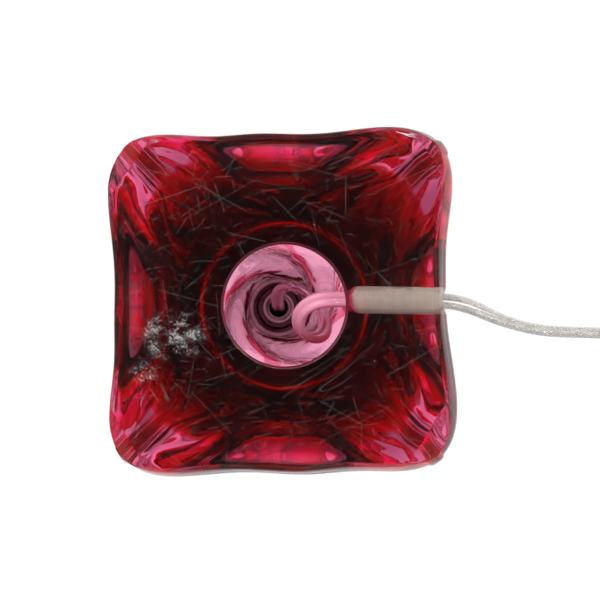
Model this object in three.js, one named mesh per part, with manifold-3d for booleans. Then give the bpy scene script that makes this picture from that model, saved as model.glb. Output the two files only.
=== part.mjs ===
// Table lamp in clear crystal cased over ruby glass: a square foot with four
// corner ribs that twist up into a slender stem, drilled for its cord, with an
// E27 lampholder on a threaded tube. Millimetres, +Z up, origin at the centre of
// the foot on the surface that the lamp stands on, cord leaving towards +Y.
import * as THREE from "three";
import { mergeVertices } from "three/addons/utils/BufferGeometryUtils.js";
import Module from "manifold-3d";

const wasm = await Module();
wasm.setup();

// ---------------------------------------------------------------- dimensions
const GLASS_H = 232; // foot to top rim of the crystal body
// height, half width at the middle of a side, reach at a corner
const GLASS_PROFILE = [
  [0, 54.8, 75.4], [2, 57.0, 76.4], [6, 58.3, 77.2], [11, 58.9, 77.8],
  [14, 58.2, 77.7], [17, 55.6, 77.0], [22, 49.6, 76.0], [27, 44.6, 74.0],
  [34, 41.0, 69.0], [44, 38.6, 60.5], [62, 35.2, 48.5], [80, 31.8, 41.0], [105, 27.6, 34.2], [135, 24.2, 29.4],
  [170, 21.6, 25.8], [205, 20.2, 23.6], [232, 20.6, 23.4],
];
const TWIST = [[0, 0], [54, 0], [76, 10], [110, 38], [160, 73], [232, 115]]; // degrees
const LOBE_MIX = [[0, 0], [30, 0], [62, 1], [232, 1]]; // rounded square -> four lobes
const SQUARE_RATIO = 1.23; // corner reach of the plain rounded square
const SIDE_HOLLOW = 1.5; // how far each side of the foot is drawn in
// Hand work: how far the foot's outline departs from a true square, as cosine and
// sine parts of each harmonic. Fades out up the stem.
const HAND = [[0, 0.3, 0], [1, -0.75, 0.11], [2, 0.81, 0.24], [3, -0.12, 0.29], [4, 0.69, 1.43], [5, -0.17, 0.01], [6, 0.24, -0.33], [8, -0.12, -0.73]];
const HAND_FADE = [[0, 1], [18, 1], [40, 0.5], [75, 0], [232, 0]];
const GROUND_SHIFT = [0.7, -2.3]; // the ground flat stands off centre
const GROUND_FADE = 10;
// The ground flat ends in a straight line at each corner: direction, distance.
const CUTS = [[58, 70.6], [121, 68.4], [-121, 68.6], [-56, 67.6]];
const CUT_RISE = 1.5; // how far the cut's facet leans out for each mm up
const RIB = [[0, 0], [8, 0.6], [20, 1.8], [30, 2.4], [60, 2.2], [120, 1.2], [200, 0.7], [232, 0.2]];
const RIB_HALF = [[0, 3.0], [30, 2.9], [60, 2.8], [120, 2.4], [232, 2.0]];
const CAVITY = [
  [0, 21.0], [2, 21.2], [5, 22.6], [9, 25.4], [16, 29.4], [26, 31.0], [38, 29.4],
  [52, 25.6], [70, 22.0], [95, 19.5], [130, 16.9], [170, 14.7], [205, 12.9],
  [214, 12.6], [219, 11.2], [221.5, 7.6], [222, 6.2], [232, 6.2],
];
const CAVITY_LOBE = [[0, 0], [30, 0], [60, 0.6], [100, 0.9], [200, 0.6], [212, 0], [232, 0]];
const CAVITY_SHIFT = [-1.5, 0.4]; // the blown cavity stands a little off centre at the foot
const CAVITY_TRUE = 190; // height above which it is central
const BORE_R = 4.75; // drilled cord hole in the foot
const BORE_X = 1.0;
const BORE_Z = 10.0;

const TUBE_R = 5.0; // M10 threaded tube
const TUBE_BORE_R = 4.0;
const FIT = 0.3; // gap between pieces that touch

const BAR_R = 2.4; // push bar of the switch
const BAR_Z = 268.0;
const BAR_TRAVEL = 6.0;
const CUP_R = 19.8; // lampholder cup and sleeve

const CORD_R = 1.6; // plain round stand-in for the flat twin cord, 5.5 x 2.9
const COIL_C = [26.5, 156.5]; // centre of the coiled cord on the floor
const COIL_OUT = 37.9; // outermost and innermost turn, centre lines
const COIL_IN = 26.5;
const COIL_Z = [1.2, 12.9];

// ------------------------------------------------------------------- colours
const paint = (color, roughness, metalness, more = {}) =>
  new THREE.MeshStandardMaterial({ color, roughness, metalness, ...more });
const CRYSTAL = paint(0x8c0c2e, 0.02, 0, { transparent: true, opacity: 0.6 });
const CHROME = paint(0xc9cbd0, 0.12, 1);
const STEEL = paint(0xa7a9ac, 0.35, 1);
const BRASS = paint(0xc8a24a, 0.25, 1);
const RUBBER = paint(0xd9d3c8, 0.7, 0);
const BAKELITE = paint(0x17120f, 0.35, 0);
const PORCELAIN = paint(0xf2efe8, 0.25, 0);
const CLEAR_PVC = paint(0xdcd6cc, 0.3, 0, { transparent: true, opacity: 0.8 });
const WHITE_PVC = paint(0xece8df, 0.4, 0);

// ------------------------------------------------------------------- helpers
// Smooth curve through a table of points, without overshoot.
function curve(table, x, column = 1) {
  const n = table.length;
  const xs = table.map((p) => p[0]);
  const ys = table.map((p) => p[column]);
  const h = [], d = [], m = [];
  for (let i = 0; i < n - 1; i++) {
    h.push(xs[i + 1] - xs[i]);
    d.push((ys[i + 1] - ys[i]) / h[i]);
  }
  m[0] = d[0];
  m[n - 1] = d[n - 2];
  for (let i = 1; i < n - 1; i++) {
    if (d[i - 1] * d[i] <= 0) m[i] = 0;
    else {
      const w1 = 2 * h[i] + h[i - 1], w2 = h[i] + 2 * h[i - 1];
      m[i] = (w1 + w2) / (w1 / d[i - 1] + w2 / d[i]);
    }
  }
  let k = 0;
  while (k < n - 2 && x > xs[k + 1]) k++;
  const t = Math.min(Math.max((x - xs[k]) / h[k], 0), 1);
  const t2 = t * t, t3 = t2 * t;
  return (2 * t3 - 3 * t2 + 1) * ys[k] + (t3 - 2 * t2 + t) * h[k] * m[k] +
    (-2 * t3 + 3 * t2) * ys[k + 1] + (t3 - t2) * h[k] * m[k + 1];
}

function toSolid(geometry) {
  const g = geometry.index ? geometry.toNonIndexed() : geometry.clone();
  const bare = new THREE.BufferGeometry().setAttribute("position", g.getAttribute("position"));
  const merged = mergeVertices(bare, 1e-4);
  return new wasm.Manifold(new wasm.Mesh({
    numProp: 3,
    vertProperties: merged.attributes.position.array,
    triVerts: new Uint32Array(merged.index.array),
  }));
}

function fromSolid(solid) {
  const mesh = solid.getMesh();
  const g = new THREE.BufferGeometry();
  g.setAttribute("position", new THREE.BufferAttribute(new Float32Array(mesh.vertProperties), 3));
  g.setIndex(new THREE.BufferAttribute(new Uint32Array(mesh.triVerts), 1));
  g.computeVertexNormals();
  return g;
}

// A turned piece about the Z axis from its section (radius, height).
function turned(section, sides = 24) {
  let area = 0;
  for (let i = 0; i < section.length; i++) {
    const [r0, z0] = section[i], [r1, z1] = section[(i + 1) % section.length];
    area += r0 * z1 - r1 * z0;
  }
  const pts = (area < 0 ? [...section].reverse() : section).map((p) => new THREE.Vector2(p[0], p[1]));
  const onAxis = pts[0].x === 0 && pts[pts.length - 1].x === 0;
  if (!onAxis) pts.push(pts[0].clone());
  return new THREE.LatheGeometry(pts, sides).rotateX(Math.PI / 2);
}

// A round rod between two heights along an axis through a point.
function rod(axis, centre, r, from, to, sides = 20) {
  const g = new THREE.CylinderGeometry(r, r, to - from, sides);
  const mid = (from + to) / 2;
  if (axis === "x") g.rotateZ(-Math.PI / 2).translate(mid, centre[0], centre[1]);
  if (axis === "y") g.translate(centre[0], mid, centre[1]);
  if (axis === "z") g.rotateX(Math.PI / 2).translate(centre[0], centre[1], mid);
  return g;
}

function block(low, high) {
  return new THREE.BoxGeometry(high[0] - low[0], high[1] - low[1], high[2] - low[2])
    .translate((low[0] + high[0]) / 2, (low[1] + high[1]) / 2, (low[2] + high[2]) / 2);
}

function cut(geometry, ...tools) {
  let s = toSolid(geometry);
  for (const t of tools) s = s.subtract(toSolid(t));
  return fromSolid(s);
}

// A hexagon nut with a plain round hole.
function hexNut(flats, hole, from, to) {
  const s = new THREE.Shape();
  const R = flats / Math.sqrt(3);
  for (let i = 0; i < 6; i++) {
    const a = (i * Math.PI) / 3;
    i ? s.lineTo(R * Math.cos(a), R * Math.sin(a)) : s.moveTo(R, 0);
  }
  s.closePath();
  s.holes.push(new THREE.Path().absarc(0, 0, hole, 0, Math.PI * 2, true));
  return new THREE.ExtrudeGeometry(s, { depth: to - from, bevelEnabled: false, curveSegments: 12 })
    .translate(0, 0, from);
}

function roundCord(points, r, steps, sides = 8) {
  const path = new THREE.CatmullRomCurve3(points.map((p) => new THREE.Vector3(...p)), false, "centripetal");
  const s = new THREE.Shape();
  for (let i = 0; i < sides; i++) {
    const a = (2 * Math.PI * (i + 0.5)) / sides;
    i ? s.lineTo(r * Math.cos(a), r * Math.sin(a)) : s.moveTo(r * Math.cos(a), r * Math.sin(a));
  }
  s.closePath();
  return new THREE.ExtrudeGeometry(s, { steps, extrudePath: path, bevelEnabled: false });
}

const lamp = new THREE.Group();
function add(name, geometry, material, parent = lamp) {
  const mesh = new THREE.Mesh(geometry, material);
  mesh.name = name;
  parent.add(mesh);
  return mesh;
}

// -------------------------------------------------------------- crystal body
// Radius of the outside at angle phi from the middle of a side, before twisting.
function outside(phi, z) {
  const a = curve(GLASS_PROFILE, z, 1);
  const c = curve(GLASS_PROFILE, z, 2);
  let w = curve(LOBE_MIX, z);
  w = w * w * (3 - 2 * w);
  const k = Math.min(Math.max(c / a, 1.02), SQUARE_RATIO);
  const n = 1 / (0.5 - Math.log2(k));
  const C = Math.abs(Math.cos(phi)), S = Math.abs(Math.sin(phi));
  const q = (1 - Math.cos(4 * phi)) / 2;
  const square = a * Math.pow(Math.pow(C, n) + Math.pow(S, n), -1 / n) -
    SIDE_HOLLOW * Math.cos(2 * phi) ** 2 * Math.min(z / 6, 1) + (c - a * k) * q ** 3;
  const lobed = a + (c - a) * q;
  const r = (1 - w) * square + w * lobed;
  const quarter = ((phi % (Math.PI / 2)) + Math.PI / 2) % (Math.PI / 2) - Math.PI / 4;
  const off = (r * Math.sin(quarter)) / curve(RIB_HALF, z);
  const hand = HAND.reduce((sum, [k, c, s]) => sum + c * Math.cos(k * phi) + s * Math.sin(k * phi), 0);
  let reach = r + curve(RIB, z) * Math.exp(-(off ** 4)) + hand * curve(HAND_FADE, z);
  if (z < 10)
    for (const [angle, far] of CUTS) {
      const facing = Math.cos(phi - (angle * Math.PI) / 180);
      if (facing > 0.5) reach = Math.min(reach, (far + CUT_RISE * z) / facing);
    }
  return reach;
}
const inside = (phi, z) => curve(CAVITY, z) - curve(CAVITY_LOBE, z) * Math.cos(4 * phi);
const twistAt = (z) => (curve(TWIST, z) * Math.PI) / 180;
function cavityShift(z) {
  const t = Math.min(z / CAVITY_TRUE, 1);
  const s = 1 - t * t * (3 - 2 * t);
  return [CAVITY_SHIFT[0] * s, CAVITY_SHIFT[1] * s];
}

// Angles round a quarter, in degrees from a side's middle, closer together at the rib.
const QUARTER = [0, 10, 20, 28, 34, 38.5, 41.8, 43.2, 45, 46.8, 48.2, 51.5, 56, 62, 70, 80];
const PHI = [0, 1, 2, 3].flatMap((q) => QUARTER.map((d) => ((d + 90 * q) * Math.PI) / 180));

function crystalBody() {
  const rows = [];
  const ring = (radius, z, shift) => {
    const tau = twistAt(z);
    const g = Math.min(z / GROUND_FADE, 1), drift = 1 - g * g * (3 - 2 * g);
    const [sx, sy] = shift ? cavityShift(z) : GROUND_SHIFT.map((d) => d * drift);
    rows.push(PHI.map((phi) => {
      const r = radius(phi, z);
      return [r * Math.cos(phi + tau) + sx, r * Math.sin(phi + tau) + sy, z];
    }));
  };
  for (const z of [0, 2, 5, 10, 14, 17, 22, 27, 34, 42, 50, 58, 67, 77, 88, 100, 114, 130, 148, 168, 190, 212, 230])
    ring(outside, z, false);
  ring((phi, z) => outside(phi, z) - 1.2, GLASS_H, false); // the rim's ground edge
  for (const z of [232, 222, 221.2, 218.6, 213, 196, 172, 148, 124, 102, 84, 70, 58, 47, 37, 26, 17, 10, 5, 2, 0])
    ring(inside, z, true);
  const n = PHI.length, m = rows.length;
  const pos = new Float32Array(rows.flat().flat());
  const idx = [];
  for (let k = 0; k < m; k++) {
    const a = k * n, b = ((k + 1) % m) * n;
    for (let i = 0; i < n; i++) {
      const j = (i + 1) % n;
      idx.push(a + i, a + j, b + j, a + i, b + j, b + i);
    }
  }
  const g = new THREE.BufferGeometry();
  g.setAttribute("position", new THREE.BufferAttribute(pos, 3));
  g.setIndex(idx);
  return cut(g, rod("y", [BORE_X, BORE_Z], BORE_R, 12, 80, 24));
}
add("crystal_body", crystalBody(), CRYSTAL);

// ----------------------------------------------- hardware below the stem's top
add("lower_gasket", turned([[5.8, 215.6], [10.4, 215.6], [10.4, 218.2], [5.8, 218.2]], 24), RUBBER);
add("cup_washer", turned([
  [5.3, 214.0], [8.6, 214.0], [10.6, 213.4], [11.9, 212.6], [11.9, 213.7],
  [10.9, 214.6], [8.8, 215.3], [5.3, 215.3],
], 28), CHROME);
add("retaining_nut", turned([
  [5.3, 208.8], [6.1, 208.8], [6.4, 209.1], [6.4, 211.4], [8.0, 211.7],
  [8.4, 212.1], [8.4, 213.3], [8.1, 213.7], [5.3, 213.7],
], 24), CHROME);
add("threaded_tube", turned([
  [TUBE_BORE_R, 208.4], [TUBE_R - 0.3, 208.4], [TUBE_R, 208.7], [TUBE_R, 256.7],
  [TUBE_R - 0.3, 257.0], [TUBE_BORE_R, 257.0],
], 20), STEEL);

// ------------------------------------------------------ hardware above the rim
add("upper_gasket", turned([[7.0, 232.3], [19.0, 232.3], [19.0, 233.4], [7.0, 233.4]], 24), RUBBER);
add("check_ring", turned([[5.3, 233.7], [20.5, 233.7], [20.5, 235.0], [5.3, 235.0]], 24), STEEL);
add("neck_cap", turned([
  [24.6, 228.5], [25.6, 228.5], [25.6, 234.2], [24.8, 235.6], [23.2, 236.3],
  [17.0, 236.7], [13.0, 238.0], [10.6, 241.0], [9.8, 244.5], [9.2, 247.0],
  [5.3, 247.0], [5.3, 246.0], [8.4, 246.0], [8.9, 244.0], [9.7, 240.6],
  [12.2, 237.2], [16.6, 235.7], [23.0, 235.3], [24.6, 234.0],
], 32), CHROME);
add("lock_nut", hexNut(14, TUBE_R + FIT, 247.3, 250.3), CHROME);

// ---------------------------------------------------------------- lampholder
add("lampholder_cup", cut(
  turned([
    [8.6, 250.6], [8.6, 255.0], [9.6, 256.6], [15.5, 258.6], [18.9, 261.6],
    [CUP_R, 265.2], [CUP_R, 284.0], [18.6, 284.0], [18.6, 265.6], [17.8, 262.6],
    [14.9, 260.0], [9.0, 258.0], [5.3, 257.5], [5.3, 250.6],
  ], 32),
  rod("x", [0, BAR_Z], BAR_R + 0.5, -24, 24, 12), // the push bar's two holes
  rod("y", [0, 253.0], 1.6, -12, -4, 12), // the grub screw's hole
), CHROME);
add("grub_screw", rod("y", [0, 253.0], 1.3, -8.9, -5.3, 12), STEEL);
add("cord_grip", turned([[2.6, 258.4], [8.0, 258.4], [8.0, 260.6], [6.4, 262.4], [2.6, 262.4]], 20), BAKELITE);
add("switch_housing", cut(
  turned([[0, 263.4], [17.0, 263.4], [17.6, 264.4], [17.6, 273.0], [0, 273.0]], 28),
  rod("x", [0, BAR_Z], BAR_R + 0.5, -24, 24, 12), // channel of the push bar
  block([-8.5, -4.6, 264.8], [8.5, 4.6, 274]), // well of the contact bridge
), BAKELITE);

// The push bar slides 6 mm towards +X; the contact bridge and both knobs go with it.
const switchSlide = new THREE.Group();
lamp.add(switchSlide);
const KNOB_GAP = 0.5;
const knobIn = CUP_R + KNOB_GAP; // inner face of the knob that touches the cup
add("switch_bar", rod("x", [0, BAR_Z], BAR_R, -(knobIn + BAR_TRAVEL) - 3.7, knobIn + 3.7, 16), CHROME, switchSlide);
const knob = () => new THREE.LatheGeometry([
  new THREE.Vector2(BAR_R + FIT, 0), new THREE.Vector2(3.5, 0), new THREE.Vector2(3.8, 0.4),
  new THREE.Vector2(3.8, 4.8), new THREE.Vector2(3.2, 5.8), new THREE.Vector2(1.6, 6.3),
  new THREE.Vector2(0, 6.4), new THREE.Vector2(0, 4.0), new THREE.Vector2(BAR_R + FIT, 4.0),
  new THREE.Vector2(BAR_R + FIT, 0),
], 20);
add("switch_knob_right", knob().rotateZ(-Math.PI / 2).translate(knobIn, 0, BAR_Z), BAKELITE, switchSlide);
add("switch_knob_left", knob().rotateZ(Math.PI / 2).translate(-(knobIn + BAR_TRAVEL), 0, BAR_Z), BAKELITE, switchSlide);
const bridge = new THREE.Shape();
bridge.moveTo(-3.9, -3.2);
bridge.lineTo(3.9, -3.2);
bridge.lineTo(3.9, 3.6);
bridge.lineTo(-3.9, 3.6);
bridge.closePath();
bridge.holes.push(new THREE.Path().absarc(0, 0, BAR_R + FIT, 0, Math.PI * 2, true));
add("switch_contact_bridge", new THREE.ExtrudeGeometry(bridge, { depth: 6, bevelEnabled: false, curveSegments: 10 })
  .rotateX(Math.PI / 2).rotateZ(Math.PI / 2).translate(-6.5, 0, BAR_Z), BRASS, switchSlide);

add("porcelain_insert", cut(
  turned([[2.6, 273.3], [17.9, 273.3], [17.9, 283.4], [17.5, 284.0], [2.6, 284.0]], 28),
  rod("z", [0, 15.9], 1.4, 277, 286, 12), // terminal screw wells
  rod("z", [0, -15.9], 1.4, 277, 286, 12),
), PORCELAIN);
const terminal = (y) => turned([[0, 278.0], [1.1, 278.0], [1.1, 284.3], [1.6, 284.3], [1.6, 285.5], [1.2, 285.9], [0, 285.9]], 12)
  .translate(0, y, 0);
add("terminal_screw_live", terminal(15.9), BRASS);
add("terminal_screw_neutral", terminal(-15.9), BRASS);

// The sprung centre contact is pressed 1.5 mm down by a lamp's base.
add("centre_contact", turned([
  [0, 278.5], [2.2, 278.5], [2.2, 286.0], [4.4, 286.0], [4.6, 286.4], [4.0, 287.3], [2.2, 287.9], [0, 288.0],
], 20), BRASS);
add("screw_shell", turned([
  [7.0, 284.4], [13.6, 284.4], [13.9, 284.8], [13.9, 306.0], [13.3, 306.0], [13.3, 285.2], [7.0, 285.2],
], 28), BRASS);
const SLEEVE_FLANGE_Z = 286.4; // seat of a shade carrier
add("lampholder_sleeve", turned([
  [18.3, 284.4], [24.1, 284.4], [24.5, 284.8], [24.5, SLEEVE_FLANGE_Z], [19.6, SLEEVE_FLANGE_Z],
  [19.6, 307.0], [18.8, 308.2], [14.6, 308.2], [14.6, 306.9], [18.3, 306.6],
], 32), CHROME);
add("shade_ring", turned([
  [20.0, 294.0], [28.2, 294.0], [28.6, 294.4], [28.6, 298.2], [28.2, 298.6], [22.4, 298.6],
  [21.6, 299.8], [20.0, 299.8],
], 32), CHROME);

// --------------------------------------------------------------- mains cord
// From the lampholder down the tube, round the cavity and out through the foot.
add("inner_cord", roundCord([
  [0, 0, 262.0], [0, 0, 250], [0, 0, 232], [0, 0, 216], [0.2, 0, 208.5], [2.6, -0.6, 203.0],
  [6.0, -0.2, 198.0], [8.2, 2.2, 192.0], [8.0, 5.4, 184], [6.4, 7.8, 172], [5.6, 9.4, 150],
  [4.4, 10.8, 120], [2.0, 12.8, 90], [-3.2, 15.0, 65], [-9.0, 15.6, 46], [-12.4, 12.6, 33],
  [-11.8, 8.4, 25], [-8.0, 5.6, 19], [-3.2, 6.6, 14.2], [0, 11, 11.4], [1.0, 17, 10.3],
  [1.0, 24, 10.0], [1.0, 40, 10.0], [1.0, 57.0, 10.0],
], 1.8, 54), CLEAR_PVC);

// Out of the foot, down to the floor and along it to the coil.
add("mains_cord", roundCord([
  [1.0, 57.3, 10.0], [0.6, 60.5, 10.0], [-0.4, 64.5, 9.6], [-2.2, 69.0, 8.2], [-4.4, 74.0, 6.0],
  [-6.3, 79.5, 4.0], [-7.8, 85.5, 2.7], [-8.7, 92.0, 2.2], [-9.0, 100.0, 2.1], [-9.2, 112.0, 2.1],
  [-9.9, 124.0, 2.3], [-10.9, 135.2, 2.6],
], CORD_R, 20), CLEAR_PVC);

const HALF_TURN_W = 2.75;
const coilLow = COIL_IN - HALF_TURN_W, coilHigh = COIL_OUT + HALF_TURN_W;
add("mains_cord_coil", turned([
  [coilLow, COIL_Z[0] + 1], [coilLow + 1, COIL_Z[0]], [coilHigh - 1, COIL_Z[0]], [coilHigh, COIL_Z[0] + 1],
  [coilHigh, COIL_Z[1] - 1], [coilHigh - 1, COIL_Z[1]], [coilLow + 1, COIL_Z[1]], [coilLow, COIL_Z[1] - 1],
], 32).translate(COIL_C[0], COIL_C[1], 0), CLEAR_PVC);

// The tie goes round the bundle of turns on the far right.
const tie = new THREE.Shape();
const tieIn = [COIL_C[0] + coilLow - 0.8, COIL_C[0] + coilHigh + FIT, COIL_Z[0] - FIT, COIL_Z[1] + FIT];
const TIE_T = 0.7;
tie.moveTo(tieIn[0] - TIE_T, tieIn[2] - TIE_T);
tie.lineTo(tieIn[1] + TIE_T, tieIn[2] - TIE_T);
tie.lineTo(tieIn[1] + TIE_T, tieIn[3] + TIE_T);
tie.lineTo(tieIn[0] - TIE_T, tieIn[3] + TIE_T);
tie.closePath();
const hole = new THREE.Path();
hole.moveTo(tieIn[0], tieIn[2]);
hole.lineTo(tieIn[0], tieIn[3]);
hole.lineTo(tieIn[1], tieIn[3]);
hole.lineTo(tieIn[1], tieIn[2]);
hole.closePath();
tie.holes.push(hole);
add("cord_tie", new THREE.ExtrudeGeometry(tie, { depth: 7, bevelEnabled: false })
  .rotateX(Math.PI / 2).translate(0, COIL_C[1] + 3.5, 0), BAKELITE);

// From the top layer of the coil down to the plug, which lies beyond it.
const PLUG_X = COIL_C[0] - COIL_OUT;
const PLUG_Y = 188.0;
const PLUG_Z = 7.0;
add("mains_cord_tail", roundCord([
  [PLUG_X, COIL_C[1] + 21.0, 9.3], [PLUG_X, COIL_C[1] + 24.0, 8.4], [PLUG_X, COIL_C[1] + 28.0, 7.3],
  [PLUG_X, PLUG_Y - FIT, PLUG_Z],
], CORD_R, 5), CLEAR_PVC);

function flatOval(w, t, corner) {
  const s = new THREE.Shape();
  s.moveTo(-w / 2 + corner, -t / 2);
  s.lineTo(w / 2 - corner, -t / 2);
  s.quadraticCurveTo(w / 2, -t / 2, w / 2, -t / 2 + corner);
  s.lineTo(w / 2, t / 2 - corner);
  s.quadraticCurveTo(w / 2, t / 2, w / 2 - corner, t / 2);
  s.lineTo(-w / 2 + corner, t / 2);
  s.quadraticCurveTo(-w / 2, t / 2, -w / 2, t / 2 - corner);
  s.lineTo(-w / 2, -t / 2 + corner);
  s.quadraticCurveTo(-w / 2, -t / 2, -w / 2 + corner, -t / 2);
  return s;
}
const RELIEF_L = 20, PLUG_L = 35;
add("plug_strain_relief", new THREE.CylinderGeometry(5.6, 3.4, RELIEF_L, 16)
  .translate(PLUG_X, PLUG_Y + RELIEF_L / 2, PLUG_Z), WHITE_PVC);
const plugY = PLUG_Y + RELIEF_L + FIT;
add("mains_plug", new THREE.ExtrudeGeometry(flatOval(34, 13.6, 5.5), { depth: PLUG_L, bevelEnabled: false, curveSegments: 4 })
  .rotateX(-Math.PI / 2).translate(PLUG_X, plugY, PLUG_Z), WHITE_PVC);
const pin = (dx) => new THREE.CylinderGeometry(2.0, 2.0, 19, 14)
  .translate(PLUG_X + dx, plugY + PLUG_L + FIT + 9.5, PLUG_Z);
add("plug_pin_left", pin(-9.5), STEEL);
add("plug_pin_right", pin(9.5), STEEL);

export default lamp;
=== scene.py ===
import math

import bmesh
import bpy
import numpy as np
from mathutils import Matrix, Vector


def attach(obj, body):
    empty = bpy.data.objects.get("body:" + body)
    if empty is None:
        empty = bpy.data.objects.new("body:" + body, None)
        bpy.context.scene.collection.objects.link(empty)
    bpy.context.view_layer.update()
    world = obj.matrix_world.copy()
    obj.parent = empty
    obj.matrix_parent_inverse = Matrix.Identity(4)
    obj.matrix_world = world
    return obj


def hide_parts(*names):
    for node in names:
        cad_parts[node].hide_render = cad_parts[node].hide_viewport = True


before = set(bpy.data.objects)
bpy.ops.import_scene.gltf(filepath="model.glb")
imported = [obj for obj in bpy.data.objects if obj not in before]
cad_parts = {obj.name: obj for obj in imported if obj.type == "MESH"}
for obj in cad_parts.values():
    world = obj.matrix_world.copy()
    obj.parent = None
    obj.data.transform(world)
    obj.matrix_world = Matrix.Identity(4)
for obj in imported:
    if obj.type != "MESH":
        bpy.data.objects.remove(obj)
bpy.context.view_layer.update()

MM = 0.001
scene = bpy.context.scene


# ---------------------------------------------------------------- the camera
# Looks up at the underside of the foot from about 0.9 m below it. Model +Y is
# to the right in the picture and +X is up.
def make_camera():
    focal = 2571.0  # in pixels of a 600 pixel wide picture
    scale = 0.3455 * MM  # one pixel on the underside
    data = bpy.data.cameras.new("camera")
    obj = bpy.data.objects.new("camera", data)
    scene.collection.objects.link(obj)
    data.sensor_width = 36
    data.lens = 36 * focal / 600
    data.clip_start = 0.01
    data.clip_end = 100
    stem = Vector((257 - 300, -(335 - 300), -focal)).normalized()
    row = Matrix(((0, 1, 0), (1, 0, 0), (0, 0, -1)))
    turn = row @ Matrix.Rotation(math.radians(1.0), 3, "Z") @ stem.rotation_difference(Vector((0, 0, -1))).to_matrix()
    origin = Vector((283.7 - 300, -(301.0 - 300), -focal)) * scale
    obj.matrix_world = Matrix.Translation(-(turn @ origin)) @ turn.to_4x4()
    scene.camera = obj
    return obj


camera = make_camera()


# ------------------------------------------------------------------- helpers
def herm(table, x, column=1):
    """Smooth curve through a table of points, without overshoot."""
    xs = np.array([p[0] for p in table], float)
    ys = np.array([p[column] for p in table], float)
    x = np.asarray(x, float)
    h = np.diff(xs)
    d = np.diff(ys) / h
    m = np.zeros_like(ys)
    m[0], m[-1] = d[0], d[-1]
    for i in range(1, len(ys) - 1):
        if d[i - 1] * d[i] > 0:
            w1, w2 = 2 * h[i] + h[i - 1], h[i] + 2 * h[i - 1]
            m[i] = (w1 + w2) / (w1 / d[i - 1] + w2 / d[i])
    k = np.clip(np.searchsorted(xs, x) - 1, 0, len(xs) - 2)
    t = np.clip((x - xs[k]) / h[k], 0, 1)
    return (
        (2 * t**3 - 3 * t**2 + 1) * ys[k]
        + (t**3 - 2 * t**2 + t) * h[k] * m[k]
        + (-2 * t**3 + 3 * t**2) * ys[k + 1]
        + (t**3 - t**2) * h[k] * m[k + 1]
    )


def spline(points):
    """Natural cubic spline through the points, by length of chord. Returns (total, function of distance)."""
    p = np.array(points, float)
    s = np.concatenate([[0], np.cumsum(np.linalg.norm(np.diff(p, axis=0), axis=1))])
    n = len(p)
    h = np.diff(s)
    a = np.zeros((n, n))
    b = np.zeros((n, 3))
    a[0, 0] = a[-1, -1] = 1
    for i in range(1, n - 1):
        a[i, i - 1], a[i, i], a[i, i + 1] = h[i - 1], 2 * (h[i - 1] + h[i]), h[i]
        b[i] = 6 * ((p[i + 1] - p[i]) / h[i] - (p[i] - p[i - 1]) / h[i - 1])
    m = np.linalg.solve(a, b)

    def at(x):
        x = np.clip(np.asarray(x, float), 0, s[-1])
        k = np.clip(np.searchsorted(s, x) - 1, 0, n - 2)
        u, v, w = (s[k + 1] - x)[:, None], (x - s[k])[:, None], h[k][:, None]
        return (
            (m[k] * u**3 + m[k + 1] * v**3) / (6 * w)
            + (p[k] / w - m[k] * w / 6) * u
            + (p[k + 1] / w - m[k + 1] * w / 6) * v
        )

    return s[-1], at


def new_mesh(name, verts, faces, materials=(), index=None, smooth=True, sharp=None):
    """A mesh object from points in mm."""
    me = bpy.data.meshes.new(name)
    me.from_pydata((np.asarray(verts, float) * MM).tolist(), [], faces)
    for m in materials:
        me.materials.append(m)
    if index is not None:
        me.polygons.foreach_set("material_index", index)
    me.update()
    ob = bpy.data.objects.new(name, me)
    scene.collection.objects.link(ob)
    tidy(me, smooth, sharp)
    return ob


def tidy(me, smooth=True, sharp=None):
    bm = bmesh.new()
    bm.from_mesh(me)
    bmesh.ops.recalc_face_normals(bm, faces=bm.faces)
    if bm.calc_volume(signed=True) < 0:
        bmesh.ops.reverse_faces(bm, faces=bm.faces)
    for f in bm.faces:
        f.smooth = smooth
    if sharp is not None:
        limit = math.radians(sharp)
        for e in bm.edges:
            if len(e.link_faces) == 2:
                e.smooth = e.calc_face_angle(0) <= limit
    bm.to_mesh(me)
    bm.free()


def place(ob, body, nodes=()):
    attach(ob, body)
    if nodes:
        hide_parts(*nodes)
    return ob


def join(name, objects):
    """One object from several, in the order given; the first one's data comes first."""
    bpy.ops.object.select_all(action="DESELECT")
    for o in objects:
        o.select_set(True)
    bpy.context.view_layer.objects.active = objects[0]
    bpy.ops.object.join()
    ob = bpy.context.view_layer.objects.active
    ob.name = name
    ob.data.name = name
    return ob


def rounded(points, radius=0.15, steps=3, closed=True):
    """A section (radius, height) with its corners rounded. A point may carry its own rounding as a third number."""
    out = []
    n = len(points)
    for i, p in enumerate(points):
        r = p[2] if len(p) > 2 else radius
        p = np.array(p[:2], float)
        if not closed and i in (0, n - 1):
            out.append(p)
            continue
        a = np.array(points[i - 1][:2], float) - p
        b = np.array(points[(i + 1) % n][:2], float) - p
        la, lb = np.linalg.norm(a), np.linalg.norm(b)
        if r <= 0 or la < 1e-6 or lb < 1e-6 or (abs(p[0]) < 1e-6):
            out.append(p)
            continue
        a, b = a / la, b / lb
        c = float(np.clip(a @ b, -1, 1))
        if c < -0.97:
            out.append(p)
            continue
        half = math.acos(c) / 2
        cut = min(r / math.tan(half), 0.45 * la, 0.45 * lb)
        for k in range(steps + 1):
            t = k / steps
            out.append((1 - t) ** 2 * (p + a * cut) + 2 * t * (1 - t) * p + t * t * (p + b * cut))
    return out


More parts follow.
